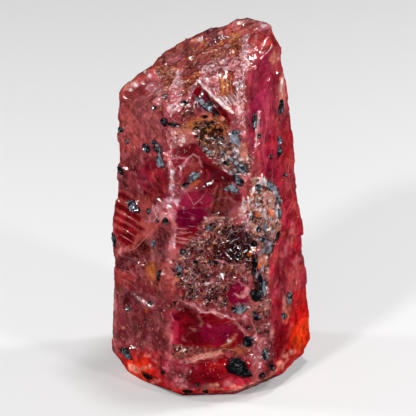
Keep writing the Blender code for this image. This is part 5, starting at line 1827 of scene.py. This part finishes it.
def closed_mesh(name: str, points: list[Points], faces: list[tuple[int, ...]]) -> bpy.types.Mesh:
    """A mesh of closed shells with their normals outward, kept inside the solid's box.

    Args:
        name: The mesh's name.
        points: Its points, in millimetres.
        faces: Its faces, as rows of point numbers.

    Returns:
        The mesh, in metres.
    """
    mesh = bpy.data.meshes.new(name)
    mesh.from_pydata((kept_inside(np.array(points)) * METRES).tolist(), [], faces)
    shape = bmesh.new()
    shape.from_mesh(mesh)
    bmesh.ops.recalc_face_normals(shape, faces=shape.faces)
    shape.to_mesh(mesh)
    shape.free()
    return mesh


@dataclass(frozen=True)
class CrackOrGlintField:
    """A part of the surface where fine healed crack lines lie, or bright splinters that are painted glints.

    ring is its outline in pixels and headings are the ways they run, in degrees from level,
    turning up to the right. length and width are ranges in pixels, and pale is the range of
    how much of a tint they have instead of the stone's own colour.
    """

    ring: Pixels
    count: int
    headings: tuple[float, ...]
    spread: float = 10.0
    length: tuple[float, float] = (8.0, 34.0)
    width: tuple[float, float] = (0.6, 1.2)
    bend: float = 4.0
    tints: tuple[Tint, ...] = (T.PALE_PINK, T.MAUVE, T.SALMON)
    pale: tuple[float, float] = (0.05, 0.5)
    side: Side = Side.FRONT


@dataclass(frozen=True)
class GrowthLine:
    """A named line on the stone, through its pixels."""

    tint: Tint
    pixels: Pixels
    width: float = 1.3
    pale: float = 0.8


def glints(ring: Pixels, count: int, tints: tuple[Tint, ...] = (T.FROST, T.PALE_PINK, T.PALE_PINK), side: Side = Side.FRONT) -> CrackOrGlintField:
    """A field of short bright splinters, lying every way, that are painted glints."""
    return CrackOrGlintField(ring, count, (0, 60, 120), 30, (2.0, 5.0), (0.6, 1.5), 24, tints, (0.4, 1.0), side)


CRACK_AND_GLINT_FIELDS = (
    CrackOrGlintField(((118, 92), (168, 90), (172, 200), (160, 215), (114, 185)), 30, (-35, 56, 20), 6, (6, 20), (0.8, 1.6), 1.5, pale=(0.0, 0.2)),
    CrackOrGlintField(((114, 250), (165, 215), (172, 350), (116, 350)), 40, (-30, 42, 76), 8, (6, 22), (0.8, 1.6), 2, pale=(0.0, 0.25)),
    CrackOrGlintField(((126, 92), (176, 72), (240, 24), (270, 20), (250, 70), (180, 130)), 60, (20, -50, 75), 25, (4, 14), bend=14),
    CrackOrGlintField(((172, 146), (240, 176), (244, 220), (174, 240)), 44, (-8, 40, -50), 8, (6, 20), (0.7, 1.3), 2, pale=(0.05, 0.5)),
    CrackOrGlintField(((176, 240), (246, 210), (262, 300), (180, 310)), 90, (-20, 60, 15), 40, (4, 14), bend=26, pale=(0.2, 0.8)),
    CrackOrGlintField(((184, 118), (244, 124), (252, 176), (196, 160)), 40, (10, 70, -50), 40, (4, 10), bend=24, tints=(T.OCHRE, T.SILVER, T.PEACH)),
    CrackOrGlintField(((176, 312), (244, 320), (246, 350), (180, 352)), 20, (-24, 20), 10, (6, 20), (0.5, 1.0), pale=(0.05, 0.3)),
    CrackOrGlintField(((170, 352), (250, 350), (262, 386), (176, 392)), 50, (8, 14, -20), 10, (6, 22)),
    CrackOrGlintField(((252, 60), (284, 60), (300, 300), (276, 340), (262, 180)), 34, (66, 84, 58), 6, (8, 30), (0.8, 1.8), 1.5, pale=(0.0, 0.25)),
    CrackOrGlintField(((252, 180), (280, 186), (280, 240), (256, 250)), 30, (70, -30, 20), 40, (4, 9), bend=24, tints=(T.SILVER, T.PEACH, T.SOOT), pale=(0.3, 0.9)),
    CrackOrGlintField(((104, 60), (316, 30), (316, 380), (104, 380)), 260, (-30, 20, 70), 24, (6, 30), side=Side.BACK),
    # Painted glints: fields of short pale splinters that stand for highlights.
    glints(((124, 88), (134, 74), (160, 64), (178, 60), (180, 110), (160, 106), (146, 88)), 70),
    glints(((176, 56), (200, 34), (240, 22), (264, 20), (250, 40), (240, 60), (190, 72)), 60, (T.GOLD, T.FROST, T.PEACH, T.PALE_PINK)),
    glints(((176, 68), (186, 66), (178, 118), (166, 120)), 36),
    glints(((200, 70), (246, 40), (246, 130), (236, 116), (200, 84)), 90),
    glints(((166, 128), (196, 130), (190, 150), (178, 210), (170, 250), (168, 160)), 60),
    glints(((176, 244), (210, 216), (248, 214), (250, 296), (180, 304)), 150, (T.FROST, T.PALE_PINK, T.PEACH, T.OCHRE)),
    glints(((190, 120), (226, 120), (250, 150), (250, 174), (212, 166)), 60, (T.GOLD, T.SILVER, T.PEACH, T.FROST)),
    glints(((244, 150), (252, 150), (250, 230), (242, 230)), 30),
    glints(((252, 182), (280, 188), (280, 244), (258, 256)), 50, (T.SILVER, T.FROST, T.PEACH)),
    glints(((172, 306), (236, 306), (250, 340), (262, 300), (272, 340), (262, 376), (172, 388), (176, 352), (246, 352)), 70),
    glints(((116, 100), (168, 100), (168, 350), (116, 350)), 40),
    glints(((256, 60), (290, 60), (302, 300), (284, 330)), 30, (T.SALMON, T.PALE_PINK)),
    glints(((104, 60), (316, 30), (316, 380), (104, 380)), 160, side=Side.BACK),
)

GROWTH_LINES = (
    # Pale steps between the dark bands of the left face
    *(GrowthLine(T.SALMON, ((x, y), (x + 12, y + 7.5), (x + w, y + w * 0.62)), 1.8, 0.75)
      for x, y, w in ((114, 185, 26), (114, 198, 26), (115, 208, 28), (115, 215, 28), (116, 224, 26), (118, 233, 22))),
    GrowthLine(T.PEACH, ((119, 254), (136, 248), (150, 233), (160, 224)), 2.0, 0.3),
    GrowthLine(T.SALMON, ((114, 276), (128, 282), (142, 292)), 1.6, 0.6),
    GrowthLine(T.SALMON, ((116, 268), (130, 272), (140, 280)), 1.4, 0.5),
    GrowthLine(T.MAUVE, ((134, 262), (144, 258), (150, 268)), 1.2, 0.5),
    # The growth triangle and the lines near it
    GrowthLine(T.PALE_PINK, ((179, 178), (181, 168), (187, 160), (193, 155), (199, 158), (202, 166)), 1.5, 0.9),
    GrowthLine(T.PALE_PINK, ((171, 159), (179, 158.5), (187, 159)), 1.5, 0.9),
    GrowthLine(T.PALE_PINK, ((185, 189), (190, 198), (194, 205), (201, 199), (208, 190)), 1.3, 0.8),
    GrowthLine(T.MAUVE, ((176, 209), (190, 208), (206, 208)), 1.0, 0.6),
    *(GrowthLine(T.PALE_PINK, ((x, y), (x + 5, y + 1.5), (x + 10, y + 1)), 1.1, 0.7)
      for x, y in ((175, 227), (184, 231), (174, 233), (180, 238), (187, 225), (190, 236))),
    GrowthLine(T.PEACH, ((224, 264), (234, 265), (248, 263)), 1.2, 0.8),
    # Painted highlights on the rims of the dark hollow, and pale lines near it
    *(GrowthLine(tint, line, 1.1, 0.9)
      for tint, line in ((T.SILVER, ((225, 240), (228, 236), (231, 232), (236, 231), (239, 228), (245, 229))),
                         (T.FROST, ((229, 244), (233, 240), (237, 239), (240, 236))),
                         (T.SILVER, ((241, 240), (245, 244), (249, 244), (254, 250))),
                         (T.SILVER, ((232, 249), (236, 245), (241, 246))),
                         (T.PALE_PINK, ((216, 246), (221, 243), (226, 245))),
                         (T.PEACH, ((200, 226), (206, 220), (214, 217), (222, 217), (228, 221))),
                         (T.PALE_PINK, ((186, 244), (193, 238), (200, 236))),
                         (T.FROST, ((196, 251), (200, 247), (204, 248))))),
    # Painted highlights along the edges of the ledge, and the hatching under the ochre window
    GrowthLine(T.FROST, ((198, 82), (204, 90), (212, 97), (222, 106), (231, 113)), 2.4, 1.0),
    *(GrowthLine(T.FROST, ((x, 97 - k), (x + 5, 103 - k), (x + 9, 109 - k)), 1.2, 0.95)
      for k, x in enumerate((219, 223, 227, 231, 234))),
    GrowthLine(T.PALE_PINK, ((177, 116), (186, 104), (194, 92), (198, 84)), 1.4, 0.8),
    GrowthLine(T.WINE, ((219, 73), (228, 72), (236, 74), (233, 84), (237, 92)), 1.6, 0.9),
    GrowthLine(T.WINE, ((219, 73), (219, 84), (221, 96)), 1.6, 0.8),
    *(GrowthLine(T.GOLD, ((x, 76), (x - 1, 86), (x + 1, 96)), 1.3, 0.9) for x in (223, 227, 231)),
    GrowthLine(T.OCHRE, ((189, 142), (186, 130), (194, 122), (210, 120), (222, 126), (226, 138)), 1.6, 0.9),
    # The rim of the crimson window and the lines that lead to it
    GrowthLine(T.FROST, ((186, 304), (195, 305), (203, 312), (214, 311), (226, 315), (236, 320)), 1.3, 0.5),
    GrowthLine(T.PALE_PINK, ((236, 320), (243, 329), (247, 342)), 1.4, 0.5),
    GrowthLine(T.PALE_PINK, ((238, 312), (250, 318), (256, 330), (257, 344)), 1.6, 0.35),
    GrowthLine(T.PEACH, ((220, 346), (230, 342), (236, 333)), 1.4, 0.6),
    GrowthLine(T.PEACH, ((212, 352), (224, 348), (238, 350)), 1.4, 0.45),
    GrowthLine(T.PALE_PINK, ((184, 364), (200, 358), (220, 353)), 1.3, 0.7),
    # Long steps down the right face
    GrowthLine(T.FROST, ((258, 112), (257, 126), (255, 150)), 1.6, 0.85),
    GrowthLine(T.FROST, ((283, 76), (281, 90), (282, 100)), 1.5, 0.8),
    GrowthLine(T.SALMON, ((290, 150), (288, 172), (293, 200)), 1.8, 0.6),
    GrowthLine(T.SALMON, ((262, 96), (266, 124), (262, 150), (266, 174)), 1.6, 0.6),
)


@dataclass
class CracksAndGlints:
    """Fine healed crack lines, and bright splinters that are painted glints and highlights, standing a little proud of
    the stone as one piece.
    """

    sightings: Sightings
    ground: Points
    step: float = 2.0
    rise: float = 0.025
    root: float = 0.03
    furthest: float = 0.7
    seed: int = 5
    points: list[Points] = field(default_factory=list)
    faces: list[tuple[int, ...]] = field(default_factory=list)
    colours: list[Points] = field(default_factory=list)

    def start_in(self, ring: Pixels, rng: np.random.Generator) -> tuple[float, float]:
        """A random pixel inside a ring."""
        corners = np.array(ring)
        inside = Area(Tint.ROSE, ring)
        for _ in range(60):
            column, row = rng.uniform(corners.min(axis=0), corners.max(axis=0))
            if inside.depth(np.array([column]), np.array([row]))[0] > 0:
                break
        return column, row

    def wandering(self, lines: CrackOrGlintField, rng: np.random.Generator) -> list[tuple[float, float]]:
        """The pixels of one crack line or glint splinter, walked from a random start in its field."""
        column, row = self.start_in(lines.ring, rng)
        heading = math.radians(rng.choice(lines.headings) + rng.normal() * lines.spread)
        length = lines.length[0] + (lines.length[1] - lines.length[0]) * rng.random() ** 2
        step = min(self.step, length / 3.2)
        walked = []
        for _ in range(int(length / step) + 1):
            walked.append((column, row))
            column += math.cos(heading) * step
            row -= math.sin(heading) * step
            heading += math.radians(rng.normal() * lines.bend)
        return walked

    def stepped(self, corners: Pixels) -> list[tuple[float, float]]:
        """Evenly spaced pixels along a line."""
        walked = []
        for (x0, y0), (x1, y1) in zip(corners, corners[1:]):
            steps = max(2, round(math.dist((x0, y0), (x1, y1)) / self.step))
            walked += [(x0 + (x1 - x0) * i / steps, y0 + (y1 - y0) * i / steps) for i in range(steps)]
        return [*walked, corners[-1]]

    def add(self, pixels: list[tuple[float, float]], width: float, tint: Tint, pale: float, side: Side) -> None:
        """Adds the closed three-sided ridge along a line of pixels.

        Args:
            pixels: The line, in even steps.
            width: The ridge's width at its middle, in pixels.
            tint: Its tint.
            pale: How much of the tint it has instead of the stone's colour.
            side: The side that it is seen on.
        """
        run = []
        for column, row in pixels:
            landed = self.sightings.landing(column, row, side)
            if landed is None or (run and np.linalg.norm(landed[0] - run[-1][0]) > self.furthest):
                break
            run.append(landed)
        if len(run) < 4:
            return
        spots = [landed[0] for landed in run]
        last = len(spots) - 1
        ridge = [spots[0] - run[0][1] * self.root]
        for i in range(1, last):
            normal = run[i - 1][1] + run[i][1] + run[i + 1][1]
            normal /= max(np.linalg.norm(normal), 1e-9)
            aside = np.cross(normal, spots[i + 1] - spots[i - 1])
            taper = 1 - abs(2 * i / last - 1) ** 2.5
            aside *= width * PIXEL / 2 * max(taper, 0.3) / max(np.linalg.norm(aside), 1e-9)
            ridge += [
                spots[i] - aside - normal * self.root,
                spots[i] + normal * self.rise,
                spots[i] + aside - normal * self.root,
            ]
        ridge.append(spots[-1] - run[-1][1] * self.root)
        first, end = len(self.points), len(self.points) + len(ridge) - 1
        for k in range(3):
            j = (k + 1) % 3
            self.faces.append((first, first + 1 + j, first + 1 + k))
            self.faces.append((end, end - 3 + k, end - 3 + j))
            for i in range(first + 1, end - 3, 3):
                self.faces.append((i + k, i + j, i + 3 + j, i + 3 + k))
        self.points += ridge
        # Every line is a quarter brighter than the stone under it, which on the glint splinters is painted highlight.
        local = self.ground[[landed[2] for landed in run]].mean(axis=0) * 1.25
        self.colours += [local * (1 - pale) + tint.linear() * pale] * len(ridge)

    def build(self) -> bpy.types.Object:
        """Builds every line as one piece."""
        for number, lines in enumerate(CRACK_AND_GLINT_FIELDS):
            rng = np.random.default_rng(self.seed + number)
            for _ in range(lines.count):
                tint = lines.tints[rng.integers(len(lines.tints))]
                self.add(self.wandering(lines, rng), rng.uniform(*lines.width), tint, rng.uniform(*lines.pale), lines.side)
        for line in GROWTH_LINES:
            self.add(self.stepped(line.pixels), line.width, line.tint, line.pale, Side.FRONT)
        mesh = closed_mesh("healed_cracks_and_glints", self.points, self.faces)
        set_colour(mesh, "tint", np.array(self.colours))
        set_amount(mesh, "tone", np.full(len(self.points), 0.6))
        mesh.materials.append(
            GrainFinish("healed_crack_and_glint_lines", (0.7, 0.45, 0.46, 1), (0.3, 0.1, 0.12, 1), 0.3, 0.02).material()
        )
        cracks_and_glints = bpy.data.objects.new("healed_cracks_and_glints", mesh)
        bpy.context.scene.collection.objects.link(cracks_and_glints)
        return cracks_and_glints


@dataclass
class SurfaceGrains:
    """Small faceted grains strewn over the stone, as thick as one of its amounts says."""

    name: str
    amount: str
    per_square: float
    smallest: float
    largest: float
    seed: int
    finish: GrainFinish
    flatness: float = 0.7
    rarity: float = 2.6

    def tree(self, material: bpy.types.Material) -> bpy.types.GeometryNodeTree:
        """Builds the node tree that strews the grains."""
        tree = bpy.data.node_groups.new(self.name + "_tree", "GeometryNodeTree")
        face = tree.interface
        face.new_socket(name="Geometry", in_out="INPUT", socket_type="NodeSocketGeometry")
        for label in ("Grains per area", "Smallest", "Largest"):
            face.new_socket(name=label, in_out="INPUT", socket_type="NodeSocketFloat")
        face.new_socket(name="Seed", in_out="INPUT", socket_type="NodeSocketInt")
        face.new_socket(name="Geometry", in_out="OUTPUT", socket_type="NodeSocketGeometry")
        nodes, links = tree.nodes, tree.links
        entry, leave = nodes.new("NodeGroupInput"), nodes.new("NodeGroupOutput")
        amount = nodes.new("GeometryNodeInputNamedAttribute")
        amount.data_type = "FLOAT"
        amount.inputs["Name"].default_value = self.amount
        thick = nodes.new("ShaderNodeMath")
        thick.operation = "MULTIPLY"
        links.new(amount.outputs[0], thick.inputs[0])
        links.new(entry.outputs["Grains per area"], thick.inputs[1])
        strewn = nodes.new("GeometryNodeDistributePointsOnFaces")
        links.new(entry.outputs["Geometry"], strewn.inputs["Mesh"])
        links.new(thick.outputs[0], strewn.inputs["Density"])
        links.new(entry.outputs["Seed"], strewn.inputs["Seed"])
        grain = nodes.new("GeometryNodeMeshCube")
        grain.inputs["Size"].default_value = (1.6, 1.6, 1.6)
        place = nodes.new("GeometryNodeInstanceOnPoints")
        links.new(strewn.outputs["Points"], place.inputs["Points"])
        links.new(grain.outputs["Mesh"], place.inputs["Instance"])
        chance = nodes.new("FunctionNodeRandomValue")
        chance.data_type = "FLOAT"
        links.new(entry.outputs["Seed"], chance.inputs["Seed"])
        rarer = nodes.new("ShaderNodeMath")
        rarer.operation = "POWER"
        rarer.inputs[1].default_value = self.rarity
        links.new(chance.outputs[1], rarer.inputs[0])
        size = nodes.new("ShaderNodeMapRange")
        links.new(rarer.outputs[0], size.inputs["Value"])
        links.new(entry.outputs["Smallest"], size.inputs["To Min"])
        links.new(entry.outputs["Largest"], size.inputs["To Max"])
        stretch = nodes.new("FunctionNodeRandomValue")
        stretch.data_type = "FLOAT_VECTOR"
        stretch.inputs[0].default_value = (0.35, 0.35, self.flatness * 0.3)
        stretch.inputs[1].default_value = (1.5, 1.1, self.flatness * 1.2)
        scale = nodes.new("ShaderNodeVectorMath")
        scale.operation = "SCALE"
        links.new(stretch.outputs[0], scale.inputs[0])
        links.new(size.outputs["Result"], scale.inputs["Scale"])
        links.new(scale.outputs[0], place.inputs["Scale"])
        spin = nodes.new("FunctionNodeRandomValue")
        spin.data_type = "FLOAT_VECTOR"
        spin.inputs[0].default_value = (-1.1, -1.1, -math.pi)
        spin.inputs[1].default_value = (1.1, 1.1, math.pi)
        turned = nodes.new("FunctionNodeRotateRotation")
        turned.rotation_space = "LOCAL"
        links.new(strewn.outputs["Rotation"], turned.inputs["Rotation"])
        links.new(spin.outputs[0], turned.inputs["Rotate By"])
        links.new(turned.outputs[0], place.inputs["Rotation"])
        tone = nodes.new("GeometryNodeStoreNamedAttribute")
        tone.data_type, tone.domain = "FLOAT", "INSTANCE"
        tone.inputs["Name"].default_value = "tone"
        value = nodes.new("FunctionNodeRandomValue")
        value.data_type = "FLOAT"
        value.inputs["Seed"].default_value = self.seed + 1
        links.new(place.outputs[0], tone.inputs["Geometry"])
        links.new(value.outputs[1], tone.inputs["Value"])
        real = nodes.new("GeometryNodeRealizeInstances")
        links.new(tone.outputs[0], real.inputs[0])
        dress = nodes.new("GeometryNodeSetMaterial")
        dress.inputs["Material"].default_value = material
        links.new(real.outputs[0], dress.inputs["Geometry"])
        links.new(dress.outputs[0], leave.inputs[0])
        return tree

    def build(self, body: bpy.types.Object) -> bpy.types.Object:
        """Strews the grains over the crystal and makes them one plain mesh."""
        material = self.finish.material()
        tree = self.tree(material)
        holder = bpy.data.objects.new(self.name + "_holder", body.data.copy())
        bpy.context.scene.collection.objects.link(holder)
        strew = holder.modifiers.new("strew", "NODES")
        strew.node_group = tree
        values = {
            "Grains per area": self.per_square / METRES**2,
            "Smallest": self.smallest * METRES,
            "Largest": self.largest * METRES,
            "Seed": self.seed,
        }
        for item in tree.interface.items_tree:
            if item.in_out == "INPUT" and item.name in values:
                strew[item.identifier] = values[item.name]
        mesh = applied(holder)
        bpy.data.objects.remove(holder)
        points, _ = numbers(mesh)
        set_points(mesh, kept_inside(points / METRES) * METRES)
        grains = bpy.data.objects.new(self.name, mesh)
        bpy.context.scene.collection.objects.link(grains)
        return grains


def seen_directly(tree: bpy.types.NodeTree, seen: float, otherwise: float) -> bpy.types.NodeSocket:
    """One number where the camera looks straight at something, another for its light on things."""
    path = tree.nodes.new("ShaderNodeLightPath")
    return math_node(tree.nodes, tree.links, "MULTIPLY_ADD", path.outputs["Is Camera Ray"], seen - otherwise, otherwise)


@dataclass(frozen=True)
class Studio:
    """The floor, the soft lights and the camera at the photograph's angle."""

    lens: float = 600.0
    floor_side: float = 6000.0
    floor_tone: float = 0.72
    room_tone: float = 0.09
    backdrop_tone: float = 0.62
    floor_lift: float = 0.16

    def floor(self) -> bpy.types.Object:
        """A plain pale floor."""
        half = self.floor_side / 2 * METRES
        mesh = bpy.data.meshes.new("floor")
        corners = [(-half, -half, 0), (half, -half, 0), (half, half, 0), (-half, half, 0)]
        mesh.from_pydata(corners, [], [(0, 1, 2, 3)])
        material = bpy.data.materials.new("pale_floor")
        material.use_nodes = True
        shader = material.node_tree.nodes["Principled BSDF"]
        shader.inputs["Base Color"].default_value = (self.floor_tone, self.floor_tone, self.floor_tone, 1)
        shader.inputs["Roughness"].default_value = 0.8
        shader.inputs["Specular IOR Level"].default_value = 0.2
        shader.inputs["Emission Color"].default_value = (1, 1, 1, 1)
        seen = seen_directly(material.node_tree, self.floor_lift, 0.0)
        material.node_tree.links.new(seen, shader.inputs["Emission Strength"])
        mesh.materials.append(material)
        made = bpy.data.objects.new("floor", mesh)
        made.visible_glossy = False
        bpy.context.scene.collection.objects.link(made)
        return made

    def light(
        self, name: str, place: tuple[float, float, float], size: float, power: float, glints: bool = True
    ) -> None:
        """A soft square light that looks at the crystal's middle.

        Args:
            name: The light's name.
            place: Where it stands, in millimetres.
            size: Its side, in millimetres.
            power: Its power, in watts.
            glints: Whether it shows as a highlight on the stone.
        """
        data = bpy.data.lights.new(name, "AREA")
        data.shape, data.size, data.energy = "SQUARE", size * METRES, power
        made = bpy.data.objects.new(name, data)
        bpy.context.scene.collection.objects.link(made)
        made.location = Vector(place) * METRES
        aim = Vector((0, 0, 13 * METRES)) - made.location
        made.rotation_mode = "QUATERNION"
        made.rotation_quaternion = aim.to_track_quat("-Z", "Y")
        made.visible_glossy = glints

    def camera(self) -> None:
        """The camera: the photograph's framing, pitch and weak perspective."""
        data = bpy.data.cameras.new("camera")
        data.lens, data.sensor_width = self.lens, 36.0
        made = bpy.data.objects.new("camera", data)
        bpy.context.scene.collection.objects.link(made)
        width = IMAGE_PIXELS * PIXEL
        away = width * self.lens / data.sensor_width
        centre = IMAGE_PIXELS / 2
        across = (centre - AXIS_PIXEL) * PIXEL
        height = (BASE_PIXEL - centre) * PIXEL / math.cos(PITCH)
        back = Vector(toward_eye(Side.FRONT))
        made.location = (Vector((across, 0, height)) + back * away) * METRES
        made.rotation_mode = "QUATERNION"
        made.rotation_quaternion = (-back).to_track_quat("-Z", "Y")
        data.clip_start, data.clip_end = METRES, 10.0
        bpy.context.scene.camera = made

    def build(self) -> None:
        """Sets up the whole studio."""
        scene = bpy.context.scene
        scene.view_settings.view_transform = "Standard"
        world = bpy.data.worlds.new("room")
        world.use_nodes = True
        background = world.node_tree.nodes["Background"]
        background.inputs["Color"].default_value = (1, 1, 1, 1)
        seen = seen_directly(world.node_tree, self.backdrop_tone, self.room_tone)
        world.node_tree.links.new(seen, background.inputs["Strength"])
        world.cycles_visibility.glossy = False
        scene.world = world
        self.floor()
        self.light("key", (-80, -120, 130), 18, 0.13)
        self.light("fill", (110, -100, 70), 16, 0.072)
        self.light("left_rim", (-120, 20, 60), 18, 0.055)
        self.light("right_rim", (120, 40, 80), 18, 0.08)
        self.light("top", (20, 10, 160), 20, 0.078)
        self.light("front", (0, -180, 40), 80, 0.04, glints=False)
        self.light("low_left", (-80, -160, 14), 8, 0.007)
        self.light("low_right", (90, -150, 18), 8, 0.007)
        self.camera()


def report(piece: bpy.types.Object) -> None:
    """Logs a piece's name and its number of triangles."""
    piece.data.calc_loop_triangles()
    LOG.info("%s: %d triangles", piece.name, len(piece.data.loop_triangles))


def main() -> None:
    """Builds the crystal, its flakes and its grains, and the studio around them."""
    logging.basicConfig(level=logging.INFO, format="%(message)s")
    Studio().build()
    body = CrystalBody().build()
    points, _ = numbers(body.data)
    polygons = [tuple(polygon.vertices) for polygon in body.data.polygons]
    stone = BVHTree.FromPolygons((points / METRES).tolist(), polygons)
    sightings = Sightings(stone)
    flakes = MicaFlakes(sightings).build()
    crust = SurfaceGrains(
        "crust_grains", "gritty", 5.0, 0.03, 0.17, 7,
        GrainFinish("iron_crust_grains", (0.6, 0.3, 0.2, 1), (0.02, 0.008, 0.008, 1), 0.3, 0.3),
    ).build(body)
    chips = SurfaceGrains(
        "frost_chips", "frost", 7.0, 0.03, 0.14, 11,
        GrainFinish("frosted_ruby_chips", (0.9, 0.8, 0.82, 1), (0.5, 0.16, 0.18, 1), 0.25),
    ).build(body)
    colours = np.empty(len(points) * 4, dtype=np.float32)
    body.data.attributes["tint"].data.foreach_get("color", colours)
    ground = colours.reshape(-1, 4)[[corners[0] for corners in polygons], :3]
    cracks_and_glints = CracksAndGlints(sightings, ground).build()
    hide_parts("ruby_crystal")
    pieces = ((body, "ruby"), (flakes, "mica"), (crust, "iron_crust"), (chips, "ruby"), (cracks_and_glints, "ruby"))
    for piece, slot in pieces:
        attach(piece, "root")
        report(piece)


if __name__ == "__main__":
    main()
